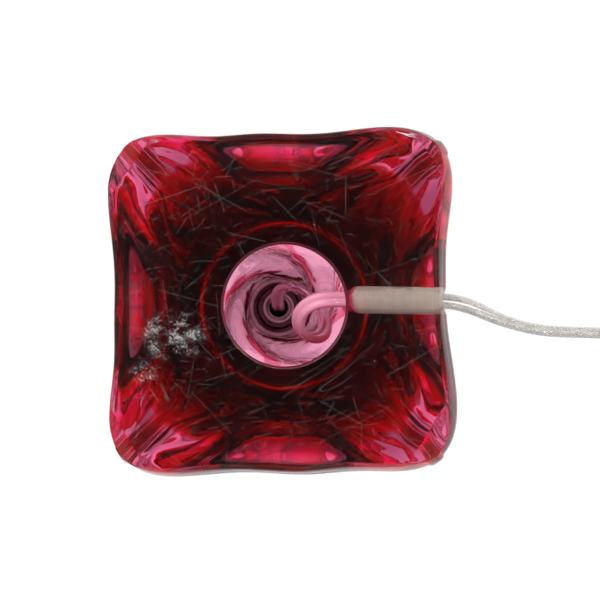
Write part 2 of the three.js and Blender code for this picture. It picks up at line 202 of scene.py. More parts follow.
def lathe(name, section, material, sides=96, wave=None, sharp=50, centre=(0, 0), index=None, materials=None):
    """Turns a section (radius, height) about the vertical axis. wave(phi, radius, height, row) may change the radius."""
    rows = []
    phi = np.linspace(0, 2 * math.pi, sides, endpoint=False)
    for k, (r, z) in enumerate(section):
        rr = np.full(sides, float(r))
        if wave is not None:
            rr = wave(phi, rr, z, k)
        rows.append(np.stack([rr * np.cos(phi) + centre[0], rr * np.sin(phi) + centre[1], np.full(sides, z)], 1))
    verts, faces = [], []
    start = []
    for k, row in enumerate(rows):
        if section[k][0] < 1e-6:
            start.append((len(verts), 1))
            verts.append(row.mean(0))
        else:
            start.append((len(verts), sides))
            verts.extend(row)
    n = len(rows)
    for k in range(n):
        (a, na), (b, nb) = start[k], start[(k + 1) % n]
        if na == 1 and nb == 1:
            continue
        for i in range(sides):
            j = (i + 1) % sides
            if na == 1:
                faces.append((a, b + j, b + i))
            elif nb == 1:
                faces.append((a + i, a + j, b))
            else:
                faces.append((a + i, a + j, b + j, b + i))
    return new_mesh(name, verts, faces, materials or [material], sharp=sharp)


def loft(name, rings, material, caps=True, sharp=40):
    """A closed skin over rings of the same number of points, in mm."""
    n = len(rings[0])
    verts = np.concatenate([np.asarray(r, float) for r in rings])
    faces = []
    for k in range(len(rings) - 1):
        for i in range(n):
            j = (i + 1) % n
            faces.append((k * n + i, k * n + j, (k + 1) * n + j, (k + 1) * n + i))
    if caps:
        faces.append(tuple(range(n))[::-1])
        last = (len(rings) - 1) * n
        faces.append(tuple(last + i for i in range(n)))
    return new_mesh(name, verts, faces, [material], sharp=sharp)


# ----------------------------------------------------------------- materials
def node_material(name):
    m = bpy.data.materials.new(name)
    m.use_nodes = True
    t = m.node_tree
    return m, t, t.nodes["Principled BSDF"], t.nodes["Material Output"]


class Nodes:
    """Short calls for building a node tree."""

    def __init__(self, tree):
        self.t = tree

    def add(self, kind, **values):
        n = self.t.nodes.new(kind)
        for k, v in values.items():
            setattr(n, k, v)
        return n

    def put(self, socket, value):
        if isinstance(value, bpy.types.NodeSocket):
            self.t.links.new(value, socket)
        else:
            socket.default_value = value

    def coords(self):
        if not hasattr(self, "_c"):
            self._c = self.add("ShaderNodeTexCoord").outputs["Object"]
        return self._c

    def mapped(self, scale=(1, 1, 1), rotation=(0, 0, 0), location=(0, 0, 0), vector=None):
        n = self.add("ShaderNodeMapping")
        self.put(n.inputs["Vector"], vector or self.coords())
        n.inputs["Scale"].default_value = scale
        n.inputs["Rotation"].default_value = rotation
        n.inputs["Location"].default_value = location
        return n.outputs[0]

    def noise(self, scale, detail=2.0, rough=0.5, vector=None, distortion=0.0):
        n = self.add("ShaderNodeTexNoise")
        self.put(n.inputs["Vector"], vector or self.coords())
        n.inputs["Scale"].default_value = scale
        n.inputs["Detail"].default_value = detail
        n.inputs["Roughness"].default_value = rough
        n.inputs["Distortion"].default_value = distortion
        return n.outputs[0]

    def cloud(self, scale, detail=2.0, rough=0.5):
        """Noise with a value of its own in each direction."""
        n = self.add("ShaderNodeTexNoise")
        self.put(n.inputs["Vector"], self.coords())
        n.inputs["Scale"].default_value = scale
        n.inputs["Detail"].default_value = detail
        n.inputs["Roughness"].default_value = rough
        return n.outputs["Color"]

    def dice(self, vector):
        """Three random numbers for each value of a vector."""
        n = self.add("ShaderNodeTexWhiteNoise", noise_dimensions="3D")
        self.put(n.inputs["Vector"], vector)
        return self.split(n.outputs["Color"])

    def math(self, op, a, b=0.0, c=0.0, clamp=False):
        n = self.add("ShaderNodeMath", operation=op, use_clamp=clamp)
        self.put(n.inputs[0], a)
        self.put(n.inputs[1], b)
        if op in ("MULTIPLY_ADD", "SMOOTH_MIN", "SMOOTH_MAX", "COMPARE"):
            self.put(n.inputs[2], c)
        return n.outputs[0]

    def vmath(self, op, a, b=(0, 0, 0), out=0):
        n = self.add("ShaderNodeVectorMath", operation=op)
        self.put(n.inputs[0], a)
        if op not in ("LENGTH", "NORMALIZE"):
            self.put(n.inputs[1], b)
        return n.outputs["Value" if op in ("LENGTH", "DISTANCE", "DOT_PRODUCT") else 0]

    def ramp(self, value, low, high, to_low=0.0, to_high=1.0, smooth=True):
        n = self.add("ShaderNodeMapRange")
        n.interpolation_type = "SMOOTHSTEP" if smooth else "LINEAR"
        self.put(n.inputs["Value"], value)
        self.put(n.inputs["From Min"], low)
        self.put(n.inputs["From Max"], high)
        self.put(n.inputs["To Min"], to_low)
        self.put(n.inputs["To Max"], to_high)
        return n.outputs[0]

    def mix(self, factor, a, b):
        n = self.add("ShaderNodeMix", data_type="RGBA")
        self.put(n.inputs["Factor"], factor)
        self.put(n.inputs[6], a)
        self.put(n.inputs[7], b)
        return n.outputs[2]

    def bump(self, height, strength, distance, normal=None):
        n = self.add("ShaderNodeBump")
        n.inputs["Strength"].default_value = strength
        n.inputs["Distance"].default_value = distance
        self.put(n.inputs["Height"], height)
        if normal is not None:
            self.put(n.inputs["Normal"], normal)
        return n.outputs[0]

    def split(self, vector):
        n = self.add("ShaderNodeSeparateXYZ")
        self.put(n.inputs[0], vector)
        return n.outputs[0], n.outputs[1], n.outputs[2]

    def join(self, x, y, z):
        n = self.add("ShaderNodeCombineXYZ")
        self.put(n.inputs[0], x)
        self.put(n.inputs[1], y)
        self.put(n.inputs[2], z)
        return n.outputs[0]


def rgb(r, g, b):
    return (r, g, b, 1.0)


def metal(name, color, worn, rough, brush=None, grime=0.12):
    """Metal with uneven polish, faint wipe marks and a little tarnish."""
    m, t, b, _ = node_material(name)
    n = Nodes(t)
    b.inputs["Metallic"].default_value = 1.0
    big = n.noise(45, 3, 0.6)
    fine = n.noise(900, 2, 0.6, n.mapped(brush or (1, 1, 1)))
    dirt = n.ramp(n.noise(160, 5, 0.7), 0.52, 0.75)
    n.put(b.inputs["Base Color"], n.mix(n.math("MULTIPLY", dirt, grime * 3, clamp=True), rgb(*color), rgb(*worn)))
    r = n.math("MULTIPLY_ADD", big, 0.10, rough - 0.05)
    r = n.math("MULTIPLY_ADD", fine, 0.06, r)
    n.put(b.inputs["Roughness"], n.math("MULTIPLY_ADD", dirt, 0.18, r, clamp=True))
    n.put(b.inputs["Normal"], n.bump(fine, 0.25, 0.00002))
    return m


def plastic(name, color, other, rough, scale=220.0, coat=0.0, pit=0.00003):
    m, t, b, _ = node_material(name)
    n = Nodes(t)
    cloud = n.noise(70, 4, 0.6)
    grain = n.noise(scale * 10, 3, 0.7)
    n.put(b.inputs["Base Color"], n.mix(n.ramp(cloud, 0.35, 0.7), rgb(*color), rgb(*other)))
    n.put(b.inputs["Roughness"], n.math("MULTIPLY_ADD", grain, 0.12, rough - 0.06))
    n.put(b.inputs["Normal"], n.bump(grain, 0.2, pit))
    if coat:
        b.inputs["Coat Weight"].default_value = coat
        b.inputs["Coat Roughness"].default_value = 0.06
    return m


# Chrome plate with a painted reflection: its dark purple-brown base colour stands in for the dark ruby cavity it
# mirrors.
PAINTED_REFLECTION_PLATE = metal("plate_painted_dark_reflection", (0.16, 0.10, 0.11), (0.24, 0.16, 0.16), 0.12)
SATIN = metal("satin_plate", (0.92, 0.88, 0.86), (0.80, 0.74, 0.72), 0.42)
CHROME = metal("chrome", (0.80, 0.81, 0.84), (0.55, 0.52, 0.50), 0.09)
STEEL = metal("nickelled_steel", (0.60, 0.59, 0.57), (0.36, 0.33, 0.29), 0.30, grime=0.2)
BRASS = metal("brass", (0.86, 0.63, 0.28), (0.46, 0.30, 0.14), 0.24, grime=0.25)
SHEET_STEEL = metal("zinc_steel", (0.56, 0.57, 0.60), (0.40, 0.38, 0.36), 0.36, grime=0.2)
RUBBER = plastic("soft_seal", (0.66, 0.62, 0.54), (0.55, 0.50, 0.43), 0.72)
BAKELITE = plastic("black_phenolic", (0.012, 0.010, 0.009), (0.022, 0.017, 0.013), 0.32, coat=0.25)
PORCELAIN = plastic("glazed_porcelain", (0.86, 0.85, 0.81), (0.80, 0.79, 0.74), 0.30, coat=1.0, pit=0.00002)
WHITE_PVC = plastic("white_moulding", (0.82, 0.80, 0.75), (0.78, 0.75, 0.69), 0.42, scale=300)
TIE_PLASTIC = plastic("black_tie", (0.015, 0.015, 0.016), (0.026, 0.026, 0.027), 0.45, scale=300)
PIN_SLEEVE = plastic("pin_sleeve", (0.70, 0.68, 0.63), (0.62, 0.60, 0.55), 0.40, scale=300)


def clear_pvc(name, light, shade, clear):
    m, t, b, _ = node_material(name)
    n = Nodes(t)
    b.inputs["IOR"].default_value = 1.34
    haze = n.noise(300, 4, 0.6)
    n.put(b.inputs["Transmission Weight"], n.ramp(haze, 0.3, 0.7, clear, clear - 0.06))
    n.put(b.inputs["Base Color"], n.mix(n.ramp(haze, 0.3, 0.7), rgb(*light), rgb(*shade)))
    n.put(b.inputs["Roughness"], n.math("MULTIPLY_ADD", haze, 0.10, 0.05))
    n.put(b.inputs["Normal"], n.bump(n.noise(500, 3, 0.6), 0.12, 0.0001))
    return m


def tinned_strands(name, valley_painted_shade, crest):
    """Tinned copper strands laid up with a twist, with painted shade darkening the valleys between strands; the map
    runs round and along the conductor.
    """
    m, t, b, _ = node_material(name)
    n = Nodes(t)
    b.inputs["Metallic"].default_value = 1.0
    uv = n.add("ShaderNodeUVMap", uv_map="strand").outputs[0]
    u, v, _z = n.split(uv)
    turn = n.math("MULTIPLY_ADD", u, 9.0, n.math("MULTIPLY", v, 520.0))
    lay = n.math("ABSOLUTE", n.math("SINE", n.math("MULTIPLY", turn, math.pi)))
    # painted shade: the base colour goes darker in the valleys between the strands
    n.put(b.inputs["Base Color"], n.mix(lay, rgb(*valley_painted_shade), rgb(*crest)))
    n.put(b.inputs["Roughness"], n.math("MULTIPLY_ADD", n.noise(600, 2, 0.5), 0.16, 0.20))
    n.put(b.inputs["Normal"], n.bump(lay, 0.9, 0.00010))
    return m


PVC = clear_pvc("clear_pvc", (0.97, 0.955, 0.93), (0.94, 0.92, 0.89), 0.90)
STRANDS = tinned_strands("tinned_strands", (0.42, 0.40, 0.38), (0.90, 0.89, 0.86))
# Inside the lamp the cord gets painted light: its pink base colour stands in for the pink light from the ruby glass
# round it.
PVC_PAINTED_PINK_LIGHT = clear_pvc("clear_pvc_painted_pink_light", (0.96, 0.50, 0.67), (0.92, 0.42, 0.60), 0.64)
STRANDS_PAINTED_PINK_LIGHT = tinned_strands("tinned_strands_painted_pink_light", (0.84, 0.40, 0.52), (1.0, 0.70, 0.80))

# --------------------------------------------------------------------- cords
# Flat twin cord, 5.5 x 2.9 mm. The routes repeat the CAD routes, in mm.
TWIN_OFF, TWIN_R = 1.3, 1.45


def twin_section(n=26):
    """Outline of the flat twin cord, (across the wide side, through the thin side)."""
    a = np.linspace(0, 2 * math.pi, n, endpoint=False)
    u = (TWIN_OFF + TWIN_R) * np.cos(a)
    d = np.clip(TWIN_R**2 - (np.abs(u) - TWIN_OFF) ** 2, 0, None)
    h = np.sqrt(d)
    h = np.where(np.abs(u) < TWIN_OFF, np.maximum(h, 0.82), h)
    return np.stack([u, np.sign(np.sin(a)) * np.where(np.abs(np.sin(a)) < 1e-9, 0, h)], 1)


def frames(p, wide0, roll):
    """Along the points: tangent, wide and thin directions. wide0 is carried along without twist, then turned by roll, in degrees."""
    t = np.gradient(p, axis=0)
    t /= np.linalg.norm(t, axis=1)[:, None]
    w = np.zeros_like(p)
    cur = np.array(wide0, float)
    for i in range(len(p)):
        cur = cur - t[i] * (cur @ t[i])
        cur /= np.linalg.norm(cur)
        w[i] = cur
    b = np.cross(t, w)
    c, s = np.cos(np.radians(roll))[:, None], np.sin(np.radians(roll))[:, None]
    return t, w * c + b * s, np.cross(t, w * c + b * s)


def level_frames(p, roll):
    """Along the points, the wide side lies level and is then turned by roll, in degrees."""
    t = np.gradient(p, axis=0)
    t /= np.linalg.norm(t, axis=1)[:, None]
    w = np.cross(t, np.array([0.0, 0.0, 1.0]))
    w /= np.linalg.norm(w, axis=1)[:, None]
    b = np.cross(w, t)
    c, s = np.cos(np.radians(roll))[:, None], np.sin(np.radians(roll))[:, None]
    ww = w * c + b * s
    return t, ww, np.cross(ww, t)


def tube_along(p, w, h, section):
    """Points and faces of a closed tube whose section rides on the wide and thin directions."""
    k = len(section)
    n = len(p)
    verts = (p[:, None, :] + section[None, :, 0:1] * w[:, None, :] + section[None, :, 1:2] * h[:, None, :]).reshape(-1, 3)
    faces = []
    for i in range(n - 1):
        for j in range(k):
            q = (j + 1) % k
            faces.append((i * k + j, i * k + q, (i + 1) * k + q, (i + 1) * k + j))
    faces.append(tuple(range(k))[::-1])
    faces.append(tuple((n - 1) * k + j for j in range(k)))
    return verts, faces


def flat_twin(name, p, w, h, cover=PVC, core=STRANDS):
    """The cord: clear cover with two stranded conductors in it. One mesh, two materials."""
    verts, faces = tube_along(p, w, h, twin_section())
    index = [0] * len(faces)
    uvs = [(0.0, 0.0)] * sum(len(f) for f in faces)
    all_v = [verts]
    s = np.concatenate([[0], np.cumsum(np.linalg.norm(np.diff(p, axis=0), axis=1))])
    a = np.linspace(0, 2 * math.pi, 12, endpoint=False)
    ring = np.stack([0.98 * np.cos(a), 0.98 * np.sin(a)], 1)
    inset = slice(1, len(p) - 1)
    for side in (-1, 1):
        base = sum(len(v) for v in all_v)
        q = p[inset] + side * TWIN_OFF * w[inset]
        cv, cf = tube_along(q, w[inset], h[inset], ring)
        all_v.append(cv)
        k = 12
        for f in cf:
            faces.append(tuple(base + i for i in f))
            index.append(1)
            if len(f) == 4:
                i, j = divmod(f[0], k)
                u0, u1 = j / k, (j + 1) / k
                v0, v1 = s[i + 1] * MM, s[min(i + 2, len(s) - 1)] * MM
                uvs.extend([(u0, v0), (u1, v0), (u1, v1), (u0, v1)])
            else:
                uvs.extend([(0.0, 0.0)] * len(f))
    me = bpy.data.meshes.new(name)
    me.from_pydata((np.concatenate(all_v) * MM).tolist(), [], faces)
    me.materials.append(cover)
    me.materials.append(core)
    me.polygons.foreach_set("material_index", index)
    layer = me.uv_layers.new(name="strand")
    layer.data.foreach_set("uv", np.array(uvs, np.float32).ravel())
    me.update()
    ob = bpy.data.objects.new(name, me)
    scene.collection.objects.link(ob)
    # Each shell is turned outwards by itself.
    bm = bmesh.new()
    bm.from_mesh(me)
    bmesh.ops.recalc_face_normals(bm, faces=bm.faces)
    for f in bm.faces:
        f.smooth = len(f.verts) == 4
    for e in bm.edges:
        if any(len(f.verts) > 4 for f in e.link_faces):
            e.smooth = False
    bm.to_mesh(me)
    bm.free()
    return ob


COIL_C = (26.5, 156.5)
COIL_OUT, COIL_IN = 37.9, 26.5
LAYER_Z = (2.65, 5.55, 8.45, 11.35)
TURNS = 8.0
PLUG_X = COIL_C[0] - COIL_OUT


def coil_points(step=15.0):
    out = []
    total = TURNS * 360
    per = total / 4
    for i in range(int(round(total / step)) + 1):
        g = i * step
        layer = min(int(g // per), 3)
        f = g / per - layer
        wave = f if layer % 2 == 0 else 1 - f
        r = COIL_OUT + (COIL_IN - COIL_OUT) * wave
        z = LAYER_Z[0]
        for k in (1, 2, 3):
            t = min(max((g - per * k + 32) / 64, 0), 1)
            z += (LAYER_Z[k] - LAYER_Z[k - 1]) * t * t * (3 - 2 * t)
        a = math.radians(180 - g)
        out.append((COIL_C[0] + r * math.cos(a), COIL_C[1] + r * math.sin(a), z))
    return out


LEAD_OUT = [
    (1.0, 38.0, 10.0), (1.0, 48.0, 10.0), (1.0, 57.3, 10.0), (0.6, 60.5, 10.0), (-0.4, 64.5, 9.6), (-2.2, 69.0, 8.3),
    (-4.4, 74.0, 6.4), (-6.3, 79.5, 4.7), (-7.8, 85.5, 3.5), (-8.7, 92.0, 2.9), (-9.0, 100.0, 2.75),
    (-9.2, 112.0, 2.7), (-9.9, 124.0, 2.7), (-10.9, 135.2, 2.65), (-11.3, 146.0, 2.65),
]
TAIL = [(PLUG_X, 166.0, 10.9), (PLUG_X, 177.5, 9.3), (PLUG_X, 184.5, 7.3), (PLUG_X, 188.4, 7.0)]
cord_length, cord_at = spline(LEAD_OUT + coil_points() + TAIL)
cord_s = np.concatenate([np.arange(0, 120, 1.5), np.arange(120, cord_length, 3.0), [cord_length]])
cord_p = cord_at(cord_s)
# On the floor the cord leans on its edge for a while, and lies flat again in the coil.
cord_roll = herm([(0, 0), (19, 0), (24, 4), (34, 40), (46, 62), (70, 66), (84, 60), (104, 20), (116, 0), (cord_length, 0)], cord_s)
cord_t, cord_w, cord_h = level_frames(cord_p, cord_roll)
cord_p[:, 2] = np.maximum(cord_p[:, 2], TWIN_R + TWIN_OFF * np.abs(np.sin(np.radians(cord_roll))) + 0.02)
mains = flat_twin("mains_flex", cord_p, cord_w, cord_h)
place(mains, "lamp", ("mains_cord", "mains_cord_coil", "mains_cord_tail"))

INNER = [
    (0, 0, 262.0), (0, 0, 250), (0, 0, 232), (0, 0, 216), (0.2, 0, 208.5), (2.6, -0.6, 203.0),
    (6.0, -0.2, 198.0), (8.2, 2.2, 192.0), (8.0, 5.4, 184), (6.4, 7.8, 172), (5.6, 9.4, 150),
    (4.4, 10.8, 120), (2.0, 12.8, 90), (-3.2, 15.0, 65), (-9.0, 15.6, 46), (-12.4, 12.6, 33),
    (-11.8, 8.4, 25), (-8.0, 5.6, 19), (-3.2, 6.6, 14.2), (0, 11, 11.4), (1.0, 17, 10.3),
    (1.0, 24, 10.0), (1.0, 31, 10.0), (1.0, 37.9, 10.0),
]
inner_length, inner_at = spline(INNER)
inner_s = np.arange(0, inner_length + 0.01, inner_length / 210)
inner_p = inner_at(inner_s)
rev = inner_p[::-1]
t_, w_, h_ = frames(rev, (1, 0, 0), np.zeros(len(rev)))
# The cord inside the lamp takes the materials with painted pink light.
inner = flat_twin("inner_flex", rev, w_, h_, PVC_PAINTED_PINK_LIGHT, STRANDS_PAINTED_PINK_LIGHT)
place(inner, "lamp", ("inner_cord",))

# ------------------------------------------------------------- plug and tie
def superellipse(a, b, n, power):
    t = np.linspace(0, 2 * math.pi, n, endpoint=False)
    c, s = np.cos(t), np.sin(t)
    return np.stack([a * np.sign(c) * np.abs(c) ** (2 / power), b * np.sign(s) * np.abs(s) ** (2 / power)], 1)


def along_y(y, a, b, power, n=64, x=PLUG_X, z=7.0):
    e = superellipse(a, b, n, power)
    return np.stack([x + e[:, 0], np.full(n, y), z + e[:, 1]], 1)


def make_plug():
    y0 = 208.3
    rings = []
    # length from the cord's end, half width, half thickness, squareness
    shape = [
        (0.0, 7.6, 5.2, 2.6), (0.5, 8.3, 5.7, 2.6), (1.6, 8.9, 6.1, 2.8), (4.0, 9.6, 6.3, 3.0), (8.0, 11.0, 6.5, 3.2),
        (12.0, 12.9, 6.6, 3.4), (16.0, 14.8, 6.7, 3.6), (20.0, 16.2, 6.75, 3.8), (24.0, 16.8, 6.8, 4.0),
        (30.0, 17.0, 6.8, 4.0), (33.4, 17.0, 6.8, 4.0), (34.4, 16.7, 6.55, 4.0), (34.9, 16.2, 6.1, 4.0), (35.0, 15.6, 5.6, 4.0),
    ]
    xs = np.concatenate([np.linspace(0, 1.6, 7), np.linspace(2.4, 33.4, 40), [33.8, 34.2, 34.5, 34.75, 34.9, 34.97, 35.0]])
    for x in xs:
        a = float(herm(shape, x, 1))
        b = float(herm(shape, x, 2))
        p = float(herm(shape, x, 3))
        e = along_y(y0 + x, a, b, p)
        # two shallow finger hollows on the flat faces
        u = (x - 17.0) / 9.5
        dip = 0.9 * math.exp(-(u**4))
        v = np.exp(-(((e[:, 0] - PLUG_X) / 7.5) ** 4))
        e[:, 2] -= np.sign(e[:, 2] - 7.0) * dip * v * (np.abs(e[:, 2] - 7.0) > b * 0.6)
        rings.append(e)
    body = loft("mains_plug_body", rings, WHITE_PVC, sharp=55)
    place(body, "lamp", ("mains_plug",))
    # ribbed strain relief
    rings = []
    for x in np.linspace(0, 20, 81):
        r = 3.5 + 1.9 * (x / 20) ** 1.3
        groove = 0.5 - 0.5 * math.cos(2 * math.pi * x / 2.6)
        open_ = 1 if x > 18.6 or x < 0.8 else 0
        r -= 0.75 * (1 - open_) * max(0.0, groove * 2 - 1) ** 0.5
        rings.append(along_y(188.0 + x, r, r * 0.93, 2.2, n=40))
    relief = loft("cord_guard", rings, WHITE_PVC, sharp=60)
    place(relief, "lamp", ("plug_strain_relief",))
    pins = []
    for side, node in ((-1, "plug_pin_left"), (1, "plug_pin_right")):
        x = PLUG_X + side * 9.5
        ys = [243.6, 243.7, 252.6, 252.8, 253.0, 253.05, 260.6, 261.6, 262.2, 262.5, 262.6]
        rs = [1.95, 2.0, 2.0, 1.98, 1.9, 2.0, 2.0, 1.85, 1.5, 1.0, 0.4]
        t = np.linspace(0, 2 * math.pi, 32, endpoint=False)
        rings = [np.stack([x + r * np.cos(t), np.full(32, y), 7.0 + r * np.sin(t)], 1) for y, r in zip(ys, rs)]
        p = loft("pin_" + ("left" if side < 0 else "right"), rings, PIN_SLEEVE, sharp=50)
        p.data.materials.append(BRASS_PIN)
        for f in p.data.polygons:
            f.material_index = 1 if f.center.y > 253.02 * MM else 0
        place(p, "lamp", (node,))
        pins.append(p)
    return [body, relief, *pins]


BRASS_PIN = metal("nickelled_pin", (0.74, 0.73, 0.70), (0.52, 0.48, 0.42), 0.18, grime=0.2)
plug_pieces = make_plug()


def make_tie():
    """Flat wire tie round the bundle of turns, with its two ends twisted together on the outer side."""
    lo_x, hi_x = COIL_C[0] + COIL_IN - 2.75 - 0.35, COIL_C[0] + COIL_OUT + 2.75 + 0.35
    lo_z, hi_z = 0.75, 13.35
    cx, cz = (lo_x + hi_x) / 2, (lo_z + hi_z) / 2
    a, b = (hi_x - lo_x) / 2, (hi_z - lo_z) / 2
    n = 96
    path = superellipse(a, b, n, 6.0)
    path = np.stack([cx + path[:, 0], np.full(n, COIL_C[1]), cz + path[:, 1]], 1)
    nxt, prv = np.roll(path, -1, 0), np.roll(path, 1, 0)
    tan = nxt - prv
    tan /= np.linalg.norm(tan, axis=1)[:, None]
    out = np.cross(tan, [0, -1, 0])
    verts, faces = [], []
    half, thick = 1.9, 0.28
    sec = [(-half, -thick), (-0.7, -thick), (-0.45, -thick - 0.02), (0.45, -thick - 0.02), (0.7, -thick), (half, -thick),
           (half, thick), (0.7, thick), (0.35, thick + 0.3), (-0.35, thick + 0.3), (-0.7, thick), (-half, thick)]
    k = len(sec)
    for i in range(n):
        ang = 0.05 * math.sin(i * 0.7)
        for u, v in sec:
            verts.append(path[i] + np.array([0, 1, 0]) * (u + ang) + out[i] * v)
    for i in range(n):
        j = (i + 1) % n
        for q in range(k):
            r = (q + 1) % k
            faces.append((i * k + q, i * k + r, j * k + r, j * k + q))
    band = new_mesh("tie_band", verts, faces, [TIE_PLASTIC], sharp=50)
    # twisted ends
    ends = []
    for ph in (0.0, math.pi):
        m = 60
        s = np.linspace(0, 1, m)
        ax = np.array([hi_x + 0.2, COIL_C[1], 9.6])
        d = np.array([0.10, -0.92, 0.12])
        d /= np.linalg.norm(d)
        side, up = np.cross(d, [0, 0, 1]), None
        side /= np.linalg.norm(side)
        up = np.cross(side, d)
        lng = 15.0
        a_ = 2 * math.pi * 3.2 * np.clip(s * 1.7, 0, 1) + ph
        rad = 0.55 + 0.9 * np.clip(s - 0.62, 0, 1) * 3
        p = ax + d * (s * lng)[:, None] + side * (rad * np.cos(a_))[:, None] * 0.75 + up * (rad * np.sin(a_))[:, None]
        t, w, h = frames(p, up, np.degrees(a_))
        sec2 = np.array([(-1.3, -0.22), (-0.4, -0.3), (0.4, -0.3), (1.3, -0.22), (1.3, 0.22), (0.4, 0.3), (-0.4, 0.3), (-1.3, 0.22)]) * [0.8, 0.9]
        v, f = tube_along(p, w, h, sec2)
        ends.append(new_mesh("tie_end", v, f, [TIE_PLASTIC], sharp=40))
    tie = join("wire_tie", [band, *ends])
    place(tie, "lamp", ("cord_tie",))
    return tie


tie = make_tie()


# ------------------------------------------------------------ metal and holder
def helix(pitch, depth, low, high, over=0.0, soft=False, fade=1.0):
    """Right-handed thread for a turned piece, cut into the rows wider than `over`."""

    def wave(phi, r, z, k):
        if z < low or z > high or r[0] < over:
            return r
        u = (z / pitch - phi / (2 * math.pi)) % 1.0
        d = 0.5 - 0.5 * np.cos(2 * math.pi * u) if soft else np.clip(1.25 * np.abs(2 * u - 1) - 0.125, 0, 1)
        return r - depth * d * float(np.clip(min((z - low) / fade, (high - z) / fade), 0, 1))

    return wave


def knurl(count, depth, over, low, high):
    """Grip ribs on the rim of a turned piece."""

    def wave(phi, r, z, k):
        if z < low or z > high or r[0] < over:
            return r
        return r - depth * (0.5 + 0.5 * np.cos(count * phi)) ** 2

    return wave


def wall(r, low, high, step):
    """Closely spaced rows of a section up (or down) a straight wall."""
    n = max(2, int(abs(high - low) / step) + 1)
    return [(r, z) for z in np.linspace(low, high, n)]


def tool_rod(axis, centre, r, low, high, sides=48):
    t = np.linspace(0, 2 * math.pi, sides, endpoint=False)
    c, s = r * np.cos(t), r * np.sin(t)
    rings = []
    for d in (low, high):
        if axis == "x":
            rings.append(np.stack([np.full(sides, d), centre[0] + c, centre[1] + s], 1))
        elif axis == "y":
            rings.append(np.stack([centre[0] + c, np.full(sides, d), centre[1] + s], 1))
        else:
            rings.append(np.stack([centre[0] + c, centre[1] + s, np.full(sides, d)], 1))
    return loft("tool", rings, STEEL)


def tool_box(low, high):
    x0, y0, z0 = low
    x1, y1, z1 = high
    rings = [np.array([(x0, y0, z), (x1, y0, z), (x1, y1, z), (x0, y1, z)], float) for z in (z0, z1)]
    return loft("tool", rings, STEEL)


def cut_away(ob, *tools, sharp=34):
    """Takes tools out of a piece and leaves its sharp edges marked."""
    for tool in tools:
        tool.data.materials.clear()
        tool.data.materials.append(ob.data.materials[0])
        mod = ob.modifiers.new("cut", "BOOLEAN")
        mod.object, mod.operation, mod.solver = tool, "DIFFERENCE", "EXACT"
    dg = bpy.context.evaluated_depsgraph_get()
    old = ob.data
    ob.data = bpy.data.meshes.new_from_object(ob.evaluated_get(dg))
    ob.data.name = ob.name
    ob.modifiers.clear()
    bpy.data.meshes.remove(old)
    for tool in tools:
        me = tool.data
        bpy.data.objects.remove(tool)
        bpy.data.meshes.remove(me)
    bm = bmesh.new()
    bm.from_mesh(ob.data)
    for f in bm.faces:
        f.smooth = True
    for e in bm.edges:
        if len(e.link_faces) == 2:
            e.smooth = e.calc_face_angle(0) <= math.radians(sharp)
    bm.to_mesh(ob.data)
    bm.free()
    return ob


def turn_to_x(ob, at, flip=False):
    """A piece turned about Z is laid along X, its foot at a given x."""
    m = Matrix.Rotation(math.radians(-90 if flip else 90), 4, "Y")
    ob.data.transform(Matrix.Translation(Vector(at) * MM) @ m)
    return ob


